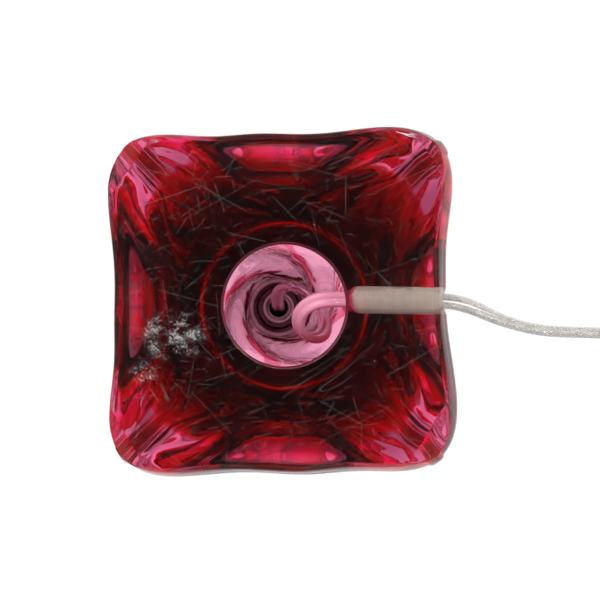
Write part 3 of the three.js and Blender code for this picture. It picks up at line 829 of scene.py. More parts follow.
def make_stem_metal():
    """What clamps the lampholder on the glass: tube, nuts, washer, seals, cap."""
    place(lathe("seal_lower", rounded([(5.8, 215.6), (10.4, 215.6), (10.4, 218.2), (5.8, 218.2)], 0.5, 4), RUBBER), "lamp", ("lower_gasket",))
    cup = [(5.3, 214.0, 0.1), (8.6, 214.0, 2.0), (10.6, 213.4, 1.5), (11.9, 212.6, 0.25), (11.9, 213.7, 0.25), (10.9, 214.6, 1.2), (8.8, 215.3, 1.6), (5.3, 215.3, 0.1)]
    # The dished face has the painted dark reflection; the rim is bare satin metal.
    washer = lathe("washer_dished", rounded(cup, 0.2, 6), PAINTED_REFLECTION_PLATE, sharp=60)
    washer.data.materials.append(SATIN)  # bare rolled rim
    for f in washer.data.polygons:
        f.material_index = int(math.hypot(f.center.x, f.center.y) > 10.9 * MM)
    place(washer, "lamp", ("cup_washer",))
    nut = [(5.3, 208.8), (6.1, 208.8), (6.4, 209.1), (6.4, 211.4, 0.4), (8.0, 211.7), (8.4, 212.1), (8.4, 213.3), (8.1, 213.7), (5.3, 213.7)]
    # The nut body has the painted dark reflection; its faced collar is satin metal.
    nut = lathe("nut_round", rounded(nut, 0.12, 3), PAINTED_REFLECTION_PLATE, sides=192, wave=knurl(48, 0.22, 7.6, 211.6, 213.8), sharp=60)
    nut.data.materials.append(SATIN)  # faced collar
    for f in nut.data.polygons:
        f.material_index = int(math.hypot(f.center.x, f.center.y) < 6.42 * MM and f.center.z < 211.3 * MM)
    place(nut, "lamp", ("retaining_nut",))
    tube = [(4.0, 208.5), (4.1, 208.4), (4.6, 208.4), *wall(5.0, 208.8, 256.6, 0.16), (4.6, 257.0), (4.1, 257.0), (4.0, 256.9)]
    place(lathe("tube_threaded", tube, STEEL, sides=72, wave=helix(1.0, 0.5, 208.4, 257.0, over=4.9, fade=0.7), sharp=70), "lamp", ("threaded_tube",))
    place(lathe("seal_upper", rounded([(7.0, 232.3), (19.0, 232.3), (19.0, 233.4), (7.0, 233.4)], 0.4, 4), RUBBER), "lamp", ("upper_gasket",))
    place(lathe("ring_check", rounded([(5.3, 233.7), (20.5, 233.7), (20.5, 235.0), (5.3, 235.0)], 0.3, 3), SHEET_STEEL), "lamp", ("check_ring",))
    cap = [
        (24.6, 228.5, 0.15), (25.3, 228.2, 0.3), (25.6, 228.9, 0.4), (25.6, 234.2, 1.0), (24.8, 235.6, 0.8), (23.2, 236.3, 1.0), (17.0, 236.7, 3.0),
        (13.0, 238.0, 2.5), (10.6, 241.0, 2.2), (9.8, 244.5, 1.5), (9.2, 247.0, 0.3), (5.3, 247.0, 0.1), (5.3, 246.0, 0.1), (8.4, 246.0, 0.3),
        (8.9, 244.0, 1.5), (9.7, 240.6, 2.0), (12.2, 237.2, 2.0), (16.6, 235.7, 2.0), (23.0, 235.3, 0.8), (24.6, 234.0, 0.8),
    ]
    cap = rounded(cap, 0.2, 7)

    def bead(phi, r, z, k):
        return r + (0.35 * math.exp(-(((z - 230.6) / 0.55) ** 2)) if r[0] > 25.2 else 0)

    fine = []
    for k, p in enumerate(cap):
        q = cap[(k + 1) % len(cap)]
        n = 16 if abs(q[1] - p[1]) > 3 and p[0] > 25.3 else 1
        fine += [tuple(np.array(p) + (np.array(q) - np.array(p)) * i / n) for i in range(n)]
    place(lathe("cap_neck", fine, CHROME, sides=144, wave=bead, sharp=60), "lamp", ("neck_cap",))

    def hexagon(phi, r, z, k):
        if r[0] < 6:
            return r
        side = (phi + math.pi / 6) % (math.pi / 3) - math.pi / 6
        return np.minimum(r, 7.0 / np.cos(side))

    rows = [(5.75, 247.3), (7.0, 247.3), (7.45, 247.4), (7.8, 247.55), (8.12, 247.8), (8.12, 249.8), (7.8, 250.05), (7.45, 250.2), (7.0, 250.3), (5.75, 250.3), (5.3, 249.85), (5.3, 247.75)]
    place(lathe("nut_hexagon", rows, CHROME, sides=144, wave=hexagon, sharp=22), "lamp", ("lock_nut",))


def make_holder():
    """Lampholder with its push-bar switch."""
    cup = [
        (8.6, 250.6, 0.3), (8.6, 255.0, 1.0), (9.6, 256.6, 1.2), (15.5, 258.6, 2.5), (18.9, 261.6, 2.5), (19.8, 265.2, 2.5), (19.8, 284.0, 0.25), (18.6, 284.0, 0.15),
        (18.6, 265.6, 2.0), (17.8, 262.6, 2.0), (14.9, 260.0, 2.0), (9.0, 258.0, 1.0), (5.3, 257.5, 0.1), (5.3, 250.6, 0.1),
    ]
    cup = lathe("holder_cup", rounded(cup, 0.2, 6), CHROME, sides=128, sharp=60)
    cut_away(cup, tool_rod("x", (0, 268.0), 2.9, -24, 24), tool_rod("y", (0, 253.0), 1.6, -12, -4))
    place(cup, "lamp", ("lampholder_cup",))

    t = np.linspace(0, 2 * math.pi, 36, endpoint=False)
    rings = [np.stack([r * np.cos(t), np.full(36, y), 253.0 + r * np.sin(t)], 1) for y, r in ((-8.9, 1.0), (-8.75, 1.25), (-8.6, 1.3), (-5.9, 1.3), (-5.5, 0.95), (-5.3, 0.8))]
    screw = loft("screw_set", rings, STEEL, sharp=50)
    cut_away(screw, tool_box((-1.6, -9.5, 252.82), (1.6, -8.35, 253.18)))
    place(screw, "lamp", ("grub_screw",))

    grip = lathe("grip_cord", rounded([(2.6, 258.4), (8.0, 258.4), (8.0, 260.6), (6.4, 262.4), (2.6, 262.4)], 0.35, 3), BAKELITE)
    place(grip, "lamp", ("cord_grip",))

    housing = lathe("switch_case", rounded([(0, 263.4), (17.0, 263.4), (17.6, 264.4), (17.6, 273.0, 0.3), (0, 273.0)], 0.5, 3), BAKELITE)
    cut_away(housing, tool_rod("x", (0, 268.0), 2.9, -24, 24), tool_box((-8.5, -4.6, 264.8), (8.5, 4.6, 275.0)))
    place(housing, "lamp", ("switch_housing",))

    # push bar with its contact bridge and knobs
    ends = [(-30.0, 1.9), (-29.85, 2.2), (-29.5, 2.4), (-7.2, 2.4), (-7.0, 2.4), (0.0, 2.4), (23.5, 2.4), (23.85, 2.2), (24.0, 1.9)]
    rings = [np.stack([np.full(48, x), r * np.cos(np.linspace(0, 2 * math.pi, 48, endpoint=False)), 268.0 + r * np.sin(np.linspace(0, 2 * math.pi, 48, endpoint=False))], 1) for x, r in ends]
    bar = loft("bar_push", rings, CHROME, sharp=50)
    place(bar, "switch", ("switch_bar",))

    def ribs(phi, r, z, k):
        if r[0] < 3.4 or z < 0.7 or z > 5.0:
            return r
        return r - 0.16 * (0.5 + 0.5 * np.cos(24 * phi)) ** 2

    for name, node, at, flip in (("knob_right", "switch_knob_right", 20.3, False), ("knob_left", "switch_knob_left", -26.3, True)):
        sec = rounded([(2.7, 0, 0.1), (3.5, 0, 0.2), (3.8, 0.4, 0.2), (3.8, 4.8, 0.6), (3.2, 5.8, 0.6), (1.6, 6.3, 0.8), (0, 6.4), (0, 4.0), (2.7, 4.0, 0.1)], 0.1, 4)
        fine = []
        for k, p in enumerate(sec):
            q = sec[(k + 1) % len(sec)]
            n = 6 if abs(q[1] - p[1]) > 2.5 and p[0] > 3.4 else 1
            fine += [tuple(np.array(p) + (np.array(q) - np.array(p)) * i / n) for i in range(n)]
        knob = lathe(name, fine, BAKELITE, sides=144, wave=ribs, sharp=50)
        turn_to_x(knob, (at, 0, 268.0), flip)
        place(knob, "switch", (node,))

    # bridge: brass plate bent round the bar
    prof = rounded([(-3.9, -3.2), (3.9, -3.2), (3.9, 3.6), (-3.9, 3.6)], 0.5, 4)
    rings = [np.array([(x, y * k, 268.0 + z * k) for y, z in prof]) for x, k in ((-6.5, 0.95), (-6.3, 1.0), (-0.7, 1.0), (-0.5, 0.95))]
    bridge = loft("bridge_contact", rings, BRASS, sharp=50)
    cut_away(bridge, tool_rod("x", (0, 268.0), 2.7, -8, 1))
    place(bridge, "switch", ("switch_contact_bridge",))

    stone = lathe("insert_porcelain", rounded([(2.6, 273.3), (17.9, 273.3), (17.9, 283.4), (17.5, 284.0), (2.6, 284.0)], 0.4, 4), PORCELAIN, sides=128)
    cut_away(stone, tool_rod("z", (0, 15.9), 1.4, 277, 286, 32), tool_rod("z", (0, -15.9), 1.4, 277, 286, 32))
    place(stone, "lamp", ("porcelain_insert",))
    for side, node, turn in ((1, "terminal_screw_live", 25), (-1, "terminal_screw_neutral", 70)):
        sec = rounded([(0, 278.0), (1.1, 278.0), (1.1, 284.3), (1.6, 284.3), (1.6, 285.5), (1.2, 285.9), (0, 285.9)], 0.12, 3)
        head = lathe("screw_terminal_" + ("a" if side > 0 else "b"), sec, BRASS, sides=40)
        slot = tool_box((-2.2, -0.2, 285.35), (2.2, 0.2, 286.6))
        slot.data.transform(Matrix.Rotation(math.radians(turn), 4, "Z"))
        cut_away(head, slot)
        head.data.transform(Matrix.Translation((0, side * 15.9 * MM, 0)))
        place(head, "lamp", (node,))

    sec = rounded([(0, 278.5), (2.2, 278.5), (2.2, 286.0), (4.4, 286.0), (4.6, 286.4), (4.0, 287.3), (2.2, 287.9), (0, 288.0)], 0.25, 4)
    place(lathe("contact_centre", sec, BRASS, sides=64), "contact", ("centre_contact",))

    # screw shell: thin sheet with the lamp's thread rolled in
    shell = [(7.0, 284.7), (7.1, 284.4), (13.2, 284.4), (13.7, 284.6), *wall(13.9, 285.2, 305.7, 0.3), (13.85, 306.0), (13.5, 306.0), *wall(13.45, 305.7, 285.6, 0.3), (13.2, 285.0), (7.1, 285.0)]
    place(lathe("shell_screw", shell, BRASS, sides=96, wave=helix(3.629, 0.75, 286.5, 305.9, over=13.42, soft=True, fade=1.2), sharp=70), "lamp", ("screw_shell",))

    cut = helix(2.5, 0.62, 287.6, 306.6, over=19.55)

    def sleeve_thread(phi, r, z, k):
        return cut(phi, r, z, k) if r[0] < 19.7 else r

    sleeve = [
        *rounded([(18.3, 284.4, 0.1), (24.1, 284.4, 0.2), (24.5, 284.8, 0.2), (24.5, 286.4, 0.2), (19.6, 286.4, 0.1)], 0.15, 3, closed=False)[1:],
        *wall(19.6, 286.8, 306.7, 0.22), *rounded([(19.6, 306.8), (19.5, 307.4, 0.5), (18.8, 308.2, 0.4), (14.6, 308.2, 0.3), (14.6, 306.9, 0.2), (18.3, 306.6, 0.6), (18.3, 284.4)], 0.3, 4, closed=False)[1:],
    ]
    place(lathe("sleeve_threaded", sleeve, CHROME, sides=144, wave=sleeve_thread, sharp=60), "lamp", ("lampholder_sleeve",))

    def scallops(phi, r, z, k):
        if r[0] < 27.9:
            return r
        return r - 0.55 * (0.5 + 0.5 * np.cos(36 * phi)) ** 3

    ring_ = [(20.0, 294.0, 0.2), (28.2, 294.0, 0.25), (28.6, 294.4, 0.25), (28.6, 298.2, 0.25), (28.2, 298.6, 0.25), (22.4, 298.6, 0.5), (21.6, 299.8, 0.3), (20.0, 299.8, 0.2)]
    place(lathe("ring_shade", rounded(ring_, 0.2, 4), CHROME, sides=288, wave=scallops, sharp=60), "ring", ("shade_ring",))


make_stem_metal()
make_holder()


# -------------------------------------------------------------- crystal body
# Shape of the glass, in mm, as in the CAD model.
GLASS_H = 232.0
PROFILE = [
    (0, 54.8, 75.4), (2, 57.0, 76.4), (6, 58.3, 77.2), (11, 58.9, 77.8), (14, 58.4, 77.7), (17, 56.3, 77.0), (22, 50.1, 76.0),
    (27, 44.8, 74.0), (34, 41.0, 69.0), (44, 38.6, 60.5), (62, 35.2, 48.5), (80, 31.8, 41.0), (105, 27.6, 34.2), (135, 24.2, 29.4), (170, 21.6, 25.8),
    (205, 20.2, 23.6), (232, 20.6, 23.4),
]
TWIST = [(0, 0), (54, 0), (76, 10), (110, 38), (160, 73), (232, 115)]
LOBE_MIX = [(0, 0), (30, 0), (62, 1), (232, 1)]
SQUARE_RATIO = 1.23
SIDE_HOLLOW = 1.5
# Hand work: how far the foot's outline departs from a true square, in mm, as
# cosine and sine parts of each harmonic. Fades out up the stem.
HAND = [(0, 0.3, 0), (1, -0.75, 0.11), (2, 0.81, 0.24), (3, -0.12, 0.29), (4, 0.69, 1.43), (5, -0.17, 0.01), (6, 0.24, -0.33), (8, -0.12, -0.73)]
HAND_FADE = [(0, 1.0), (18, 1.0), (40, 0.5), (75, 0), (232, 0)]
GROUND_SHIFT = (0.7, -2.3)  # the ground flat stands off centre
GROUND_FADE = 10.0
RIB = [(0, 0), (8, 0.6), (20, 1.8), (30, 2.4), (60, 2.2), (120, 1.2), (200, 0.7), (232, 0.2)]
RIB_HALF = [(0, 3.0), (30, 2.9), (60, 2.8), (120, 2.4), (232, 2.0)]
CAVITY = [
    (0, 21.0), (2, 21.2), (5, 22.6), (9, 25.4), (16, 29.4), (26, 31.0), (38, 29.4), (52, 25.6), (70, 22.0), (95, 19.5), (130, 16.9),
    (170, 14.7), (205, 12.9), (214, 12.6), (219, 11.2), (221.5, 7.6), (222, 6.2), (232, 6.2),
]
CAVITY_LOBE = [(0, 0), (30, 0), (60, 0.6), (100, 0.9), (200, 0.6), (212, 0), (232, 0)]
CAVITY_SHIFT = (-1.5, 0.4)
CAVITY_TRUE = 190.0
# The ground flat ends in a straight line at each corner: direction and distance.
CUTS = [(58.0, 70.6), (121.0, 68.4), (-121.0, 68.6), (-56.0, 67.6)]
CUT_RISE = 1.5  # how far the cut's facet leans out for each mm up
EDGE = 1.0  # ground edge of the hole in the underside
BORE = (1.0, 10.0, 4.75)  # x, z and radius of the drilled cord hole
# Ruby glass round the cavity: thickness at the middle of a side and more at the corners.
RUBY = [(0, 1.2), (9, 1.4), (16, 1.6), (19, 5.0), (24, 6.0), (30, 6.0), (38, 6.0), (46, 4.5), (54, 2.8), (60, 1.5), (65, 0.95), (80, 0.9), (222, 0.9)]
RUBY_CORNER = [(0, 0), (12, 0), (20, 2), (24, 4.5), (30, 8.5), (38, 10.5), (44, 9.0), (52, 6.5), (60, 2.0), (66, 0), (222, 0)]
# In the foot it spreads out to near the surface as a sheet: thick at the middle of
# each side, thin beside the corners, with a blade along each corner rib.
SHEET_Z = 18.0
SHEET_SIDE, SHEET_THIN, SHEET_BLADE = 4.1, 2.5, 2.4
BLADE_HALF = 2.6
SHEET_MARGIN = 0.8
RUBY_PER_M = (52.0, 860.0, 500.0)  # absorption of red, green and blue
# The first gather in the foot is a deeper red: a flat ring of it lies under the shoulder.
DEEP_Z = (12.0, 15.4)
DEEP_SIDE, DEEP_CORNER = (44.5, 49.5), (48.5, 60.0)
DEEP_BELLY, DEEP_DROP = (40.0, 46.0), 4.2  # it hangs down towards the corners
DEEP_PER_M = (315.0, 3000.0, 2600.0)


def smooth01(x):
    x = np.clip(x, 0, 1)
    return x * x * (3 - 2 * x)


def twist_at(z):
    return np.radians(herm(TWIST, z))


def ripple(phi, z):
    """The slight unevenness of fire-polished glass."""
    grow = smooth01((z - 2) / 20)
    return grow * (
        0.10 * np.sin(3 * phi + 0.11 * z + 0.8)
        + 0.07 * np.sin(7 * phi - 0.19 * z + 2.1)
        + 0.05 * np.sin(13 * phi + 0.31 * z + 4.0)
    )


def outside(phi, z):
    a, c = herm(PROFILE, z, 1), herm(PROFILE, z, 2)
    w = smooth01(herm(LOBE_MIX, z))
    k = np.clip(c / a, 1.02, SQUARE_RATIO)
    n = 1 / (0.5 - np.log2(k))
    C, S = np.abs(np.cos(phi)), np.abs(np.sin(phi))
    q = (1 - np.cos(4 * phi)) / 2
    square = a * (C**n + S**n) ** (-1 / n) - SIDE_HOLLOW * np.cos(2 * phi) ** 2 * np.clip(z / 6, 0, 1) + (c - a * k) * q**3
    lobed = a + (c - a) * q
    r = (1 - w) * square + w * lobed
    quarter = (phi % (math.pi / 2)) - math.pi / 4
    off = r * np.sin(quarter) / herm(RIB_HALF, z)
    hand = sum(c * np.cos(k * phi) + s * np.sin(k * phi) for k, c, s in HAND)
    r = r + herm(RIB, z) * np.exp(-(off**8)) + ripple(phi, z) + hand * herm(HAND_FADE, z)
    if z < 10:
        for angle, far in CUTS:
            facing = np.cos(phi - math.radians(angle))
            r = np.where(facing > 0.5, np.minimum(r, (far + CUT_RISE * z) / np.maximum(facing, 0.5)), r)
    return r


def inside(phi, z):
    return herm(CAVITY, z) - herm(CAVITY_LOBE, z) * np.cos(4 * phi) + 0.2 * ripple(phi + 1.0, z)


def cavity_shift(z):
    s = 1 - smooth01(z / CAVITY_TRUE)
    return CAVITY_SHIFT[0] * s, CAVITY_SHIFT[1] * s


def rib_angles(n):
    """Angles round the section, closer together at the ribs."""
    t = np.linspace(0, 2 * math.pi, n, endpoint=False)
    return t + 0.17 * np.sin(4 * t)


def ring(radius, phi, z, shift):
    tau = float(twist_at(z))
    drift = 1 - float(smooth01(z / GROUND_FADE))
    sx, sy = cavity_shift(z) if shift else (GROUND_SHIFT[0] * drift, GROUND_SHIFT[1] * drift)
    return np.stack([radius * np.cos(phi + tau) + sx, radius * np.sin(phi + tau) + sy, np.full(len(phi), float(z))], 1)


def grid_mesh(name, rows, materials, index=None):
    n, m = len(rows[0]), len(rows)
    verts = np.concatenate(rows)
    i = np.arange(n)
    j = (i + 1) % n
    faces = np.concatenate([np.stack([k * n + i, k * n + j, ((k + 1) % m) * n + j, ((k + 1) % m) * n + i], 1) for k in range(m)])
    idx = None if index is None else np.repeat(index, n)
    return new_mesh(name, verts, faces.tolist(), materials, idx, sharp=34)


def drill(ob, material):
    """The cord hole, drilled from the side; its wall takes the frosted material."""
    x, z, r = BORE
    me = bpy.data.meshes.new("drill")
    bm = bmesh.new()
    bmesh.ops.create_cone(bm, cap_ends=True, segments=96, radius1=r * MM, radius2=r * MM, depth=68 * MM)
    bm.to_mesh(me)
    bm.free()
    me.materials.append(material)
    tool = bpy.data.objects.new("drill", me)
    scene.collection.objects.link(tool)
    tool.matrix_world = Matrix.Translation((x * MM, 46 * MM, z * MM)) @ Matrix.Rotation(math.radians(90), 4, "X")
    mod = ob.modifiers.new("drill", "BOOLEAN")
    mod.object, mod.operation, mod.solver, mod.material_mode = tool, "DIFFERENCE", "EXACT", "TRANSFER"
    dg = bpy.context.evaluated_depsgraph_get()
    cut = bpy.data.meshes.new_from_object(ob.evaluated_get(dg))
    ob.modifiers.clear()
    ob.data = cut
    bpy.data.objects.remove(tool)
    bm = bmesh.new()
    bm.from_mesh(cut)
    for e in bm.edges:
        if len(e.link_faces) == 2:
            e.smooth = e.calc_face_angle(0) <= math.radians(34)
    bm.to_mesh(cut)
    bm.free()


def crystal_material():
    m, t, b, _ = node_material("crystal")
    n = Nodes(t)
    b.inputs["Base Color"].default_value = rgb(1, 1, 1)
    b.inputs["Transmission Weight"].default_value = 1.0
    b.inputs["IOR"].default_value = 1.53
    b.inputs["Roughness"].default_value = 0.0
    wave = n.noise(55, 2, 0.5)
    n.put(b.inputs["Normal"], n.bump(wave, 0.12, 0.0008))
    return m


def underside_material():
    """The ground and polished flat: clear glass under years of scratches, with one chipped patch."""
    m, t, b, _ = node_material("crystal_underside")
    n = Nodes(t)
    b.inputs["IOR"].default_value = 1.53
    xyz = n.coords()
    # slight bends in every scratch
    warp = n.vmath("MULTIPLY", n.vmath("SUBTRACT", n.cloud(28, 1, 0.5), (0.5, 0.5, 0.5)), (0.0015, 0.0015, 0))
    bent = n.vmath("ADD", xyz, warp)
    total = None

    def strokes(angle, length, apart, width, keep, seed):
        """Straight scratches in one direction: one in each cell of a staggered grid, or none."""
        v = n.mapped((1000 / length, 1000 / apart, 1.0), (0, 0, 0), (seed, seed * 1.7, 0), n.mapped((1, 1, 0), (0, 0, math.radians(angle)), (0, 0, 0), bent))
        u, w, _ = n.split(v)
        row = n.math("FLOOR", w)
        u = n.math("MULTIPLY_ADD", n.dice(n.join(row, seed, 0.5))[0], 9.0, u)
        pick = n.dice(n.join(n.math("FLOOR", u), row, seed))
        along, across = n.math("FRACT", u), n.math("FRACT", w)
        slope = n.math("MULTIPLY", n.math("SUBTRACT", along, 0.5), n.math("MULTIPLY_ADD", pick[1], 0.9, -0.45))
        middle = n.math("ADD", n.math("MULTIPLY_ADD", pick[0], 0.5, 0.25), slope)
        away = n.math("MULTIPLY", n.math("ABSOLUTE", n.math("SUBTRACT", across, middle)), apart)
        line = n.ramp(away, 0.0, width, 1.0, 0.0)
        half = n.math("MULTIPLY_ADD", pick[2], 0.36, 0.12)
        end = n.ramp(n.math("SUBTRACT", n.math("ABSOLUTE", n.math("SUBTRACT", along, 0.5)), half), -0.06, 0.0, 1.0, 0.0)
        have = n.math("LESS_THAN", n.math("FRACT", n.math("MULTIPLY", pick[0], 13.7)), keep)
        force = n.math("MULTIPLY_ADD", n.math("FRACT", n.math("MULTIPLY", pick[2], 7.9)), 0.75, 0.25)
        return n.math("MULTIPLY", n.math("MULTIPLY", line, end), n.math("MULTIPLY", have, force))

    layers = [
        (22, 20, 9.0, 0.055, 0.26, 3.1), (-38, 15, 8.0, 0.055, 0.24, 8.7), (71, 24, 9.5, 0.055, 0.28, 13.9), (-16, 13, 8.5, 0.055, 0.22, 16.3),
        (118, 14, 8.0, 0.055, 0.24, 21.3), (-63, 36, 11.0, 0.065, 0.36, 27.7), (93, 9, 6.0, 0.055, 0.22, 31.9), (3, 18, 9.0, 0.055, 0.24, 34.1),
        (50, 44, 12.0, 0.065, 0.40, 41.9), (150, 11, 6.0, 0.055, 0.22, 55.3), (-80, 5, 3.4, 0.050, 0.26, 61.7), (35, 4, 3.4, 0.050, 0.26, 71.9),
    ]
    for layer in layers:
        s = strokes(*layer)
        total = s if total is None else n.math("MAXIMUM", total, s)
    # arcs left by turning the lamp on its foot
    x, y, z = n.split(xyz)
    radius = n.vmath("LENGTH", n.join(x, y, 0.0))
    angle = n.math("ARCTAN2", y, x)
    polar = n.join(n.math("MULTIPLY", radius, 210.0), n.math("MULTIPLY", angle, 0.7), 4.4)
    arcs = n.ramp(n.math("ABSOLUTE", n.math("SUBTRACT", n.noise(1.0, 0.0, 0.5, polar), 0.5)), 0.0, 0.0035, 0.8, 0.0)
    arcs = n.math("MULTIPLY", arcs, n.ramp(n.noise(38, 1, 0.5), 0.52, 0.62))
    total = n.math("MAXIMUM", total, arcs)
    # the chipped patch and a few pits
    d = n.vmath("MULTIPLY", n.vmath("SUBTRACT", xyz, (-0.0125, -0.0385, 0.0)), (1 / 0.0115, 1 / 0.0170, 0))
    e = n.vmath("MULTIPLY", n.vmath("SUBTRACT", xyz, (-0.0255, -0.0475, 0.0)), (1 / 0.0060, 1 / 0.0075, 0))
    near = n.math("MAXIMUM", n.ramp(n.vmath("LENGTH", d), 0.25, 1.1, 1.0, 0.0), n.ramp(n.vmath("LENGTH", e), 0.1, 1.1, 0.9, 0.0))
    grain = n.noise(1500, 4, 0.8, n.mapped((1, 1, 1), (0, 0, 0.7)))
    flake = n.noise(260, 4, 0.65, n.mapped((1, 0.6, 1), (0, 0, 0.5)))
    chip = n.math("MULTIPLY", n.ramp(n.math("ADD", n.math("MULTIPLY", grain, 0.55), n.math("MULTIPLY", flake, 0.45)), 0.47, 0.60), near)
    chip = n.ramp(chip, 0.15, 0.85)
    pits = n.ramp(n.noise(620, 1, 0.5), 0.80, 0.83)
    mark = n.math("MAXIMUM", n.math("MULTIPLY", total, 0.14), n.math("MAXIMUM", n.math("MULTIPLY", chip, 0.22), n.math("MULTIPLY", pits, 0.4)), clamp=True)
    n.put(b.inputs["Transmission Weight"], n.math("SUBTRACT", 1.0, n.math("MULTIPLY", mark, 0.8), clamp=True))
    n.put(b.inputs["Roughness"], n.math("MULTIPLY", mark, 0.6, clamp=True))
    n.put(b.inputs["Base Color"], n.mix(mark, rgb(1, 1, 1), rgb(0.95, 0.90, 0.90)))
    return m


def frosted_material():
    m, t, b, _ = node_material("drilled_wall")
    n = Nodes(t)
    rings = n.noise(1.0, 2, 0.6, n.mapped((300, 1400, 300)))
    n.put(b.inputs["Base Color"], n.mix(rings, rgb(0.86, 0.74, 0.62), rgb(0.62, 0.50, 0.40)))
    b.inputs["Transmission Weight"].default_value = 0.35
    n.put(b.inputs["Roughness"], n.math("MULTIPLY_ADD", rings, 0.2, 0.45))
    b.inputs["IOR"].default_value = 1.53
    n.put(b.inputs["Normal"], n.bump(rings, 0.6, 0.0001))
    return m


def ruby_material(name, per_m):
    m, t, b, out = node_material(name)
    b.inputs["Base Color"].default_value = rgb(1, 1, 1)
    b.inputs["Transmission Weight"].default_value = 1.0
    b.inputs["Roughness"].default_value = 0.0
    b.inputs["IOR"].default_value = 1.0
    v = t.nodes.new("ShaderNodeVolumeAbsorption")
    dense = max(per_m)
    v.inputs["Color"].default_value = (*[1 - s / dense for s in per_m], 1)
    v.inputs["Density"].default_value = dense
    t.links.new(v.outputs[0], out.inputs["Volume"])
    return m


def mouth_painted_shade_material():
    """The polished edge round the hole, painted near-black: painted shade for the dark ring round the hole, mottled at
    random.
    """
    m, t, b, _ = node_material("mouth_edge_painted_shade")
    n = Nodes(t)
    shade_mottle = n.noise(160, 3, 0.6)
    # painted shade: dark maroon base colour, varied by noise
    n.put(b.inputs["Base Color"], n.mix(shade_mottle, rgb(0.025, 0.003, 0.006), rgb(0.06, 0.006, 0.012)))
    b.inputs["Transmission Weight"].default_value = 0.08
    n.put(b.inputs["Roughness"], n.math("MULTIPLY_ADD", shade_mottle, 0.06, 0.04))
    b.inputs["IOR"].default_value = 1.9
    b.inputs["Specular IOR Level"].default_value = 0.9
    return m


CRYSTAL, UNDERSIDE, DRILLED = crystal_material(), underside_material(), frosted_material()
RUBY_GLASS, DEEP_GLASS = ruby_material("ruby", RUBY_PER_M), ruby_material("ruby_deep", DEEP_PER_M)
MOUTH_PAINTED_SHADE = mouth_painted_shade_material()


def ruby_radius(phi, z):
    """Outer radius of the ruby glass, from the middle of the cavity."""
    r = inside(phi, z) + herm(RUBY, z) + herm(RUBY_CORNER, z) * (1 - np.cos(4 * phi)) / 2
    out = outside(phi, z)
    sx, sy = cavity_shift(z)
    reach = out - (sx * np.cos(phi) + sy * np.sin(phi)) - SHEET_MARGIN
    if SHEET_Z - 8 < z < SHEET_Z + 8:
        quarter = (phi % (math.pi / 2)) - math.pi / 4
        side = np.pi / 4 - np.abs(quarter)  # angle from the middle of a side
        off = out * np.sin(quarter) / BLADE_HALF
        thick = SHEET_THIN + (SHEET_SIDE - SHEET_THIN) * (1 - smooth01((side - 0.42) / 0.14)) + (SHEET_BLADE - SHEET_THIN) * np.exp(-(off**8))
        s = smooth01((thick / 2 + 0.15 - np.abs(z - SHEET_Z)) / 0.3)
        r = np.maximum(r, r + (reach - r) * s)
    return np.minimum(r, reach)


def make_crystal():
    phi = rib_angles(480)
    rows, index = [], []

    def put(row, kind):
        rows.append(row)
        index.append(kind)

    rim = ring(inside(phi, 0.0) + EDGE, phi, 0.0, True)
    foot = ring(outside(phi, 0.0), phi, 0.0, False)
    for t in np.linspace(0, 1, 12)[:-1]:
        put(rim * (1 - t) + foot * t, 1)
    zs = np.concatenate([np.linspace(0, 8, 21)[:-1], np.linspace(8, 24, 16)[:-1], np.linspace(24, 90, 62)[:-1], np.linspace(90, GLASS_H - 1.6, 66)])
    for z in zs:
        put(ring(outside(phi, z), phi, z, False), 0)
    for drop, back in ((1.0, 0.15), (0.45, 0.5), (0.12, 0.95), (0.0, 1.5)):
        put(ring(outside(phi, GLASS_H - drop) - back, phi, GLASS_H - drop, False), 0)
    top, neck = rows[-1], ring(inside(phi, GLASS_H), phi, GLASS_H, True)
    for t in (0.33, 0.67):
        put(top * (1 - t) + neck * t, 0)
    zc = np.concatenate([np.linspace(GLASS_H, 222, 5)[:-1], np.linspace(222, 205, 30)[:-1], np.linspace(205, 60, 76)[:-1], np.linspace(60, EDGE, 62)])
    for z in zc:
        put(ring(inside(phi, z), phi, z, True), 0)
    # the rounded edge of the hole takes the material with painted shade
    for t in np.radians([15, 30, 45, 60, 75]):  # rounded edge of the hole
        z = EDGE * (1 - math.sin(t))
        put(ring(inside(phi, z) + EDGE * (1 - math.cos(t)), phi, z, True), 2)
    index[-6] = 2
    ob = grid_mesh("crystal_glass", rows, [CRYSTAL, UNDERSIDE, MOUTH_PAINTED_SHADE], index)
    drill(ob, DRILLED)
    place(ob, "lamp", ("crystal_body",))
    return ob


def make_ruby():
    phi = rib_angles(400)
    zc = np.concatenate([np.linspace(0.05, 14, 16)[:-1], np.linspace(14, 15, 4)[:-1], np.linspace(15, 21, 31)[:-1], np.linspace(21, 34, 22)[:-1], np.linspace(34, 62, 24)[:-1], np.linspace(62, 205, 64)[:-1], np.linspace(205, 221, 20)])
    eps = 0.03
    rows = [ring(inside(phi, z) + eps + EDGE * (1 - math.sqrt(1 - max(0, 1 - z / EDGE) ** 2)), phi, z, True) for z in zc]
    rows += [ring(ruby_radius(phi, z), phi, z, True) for z in zc[::-1]]
    ob = grid_mesh("ruby_glass", rows, [RUBY_GLASS])
    drill(ob, RUBY_GLASS)
    place(ob, "lamp", ())
    return ob


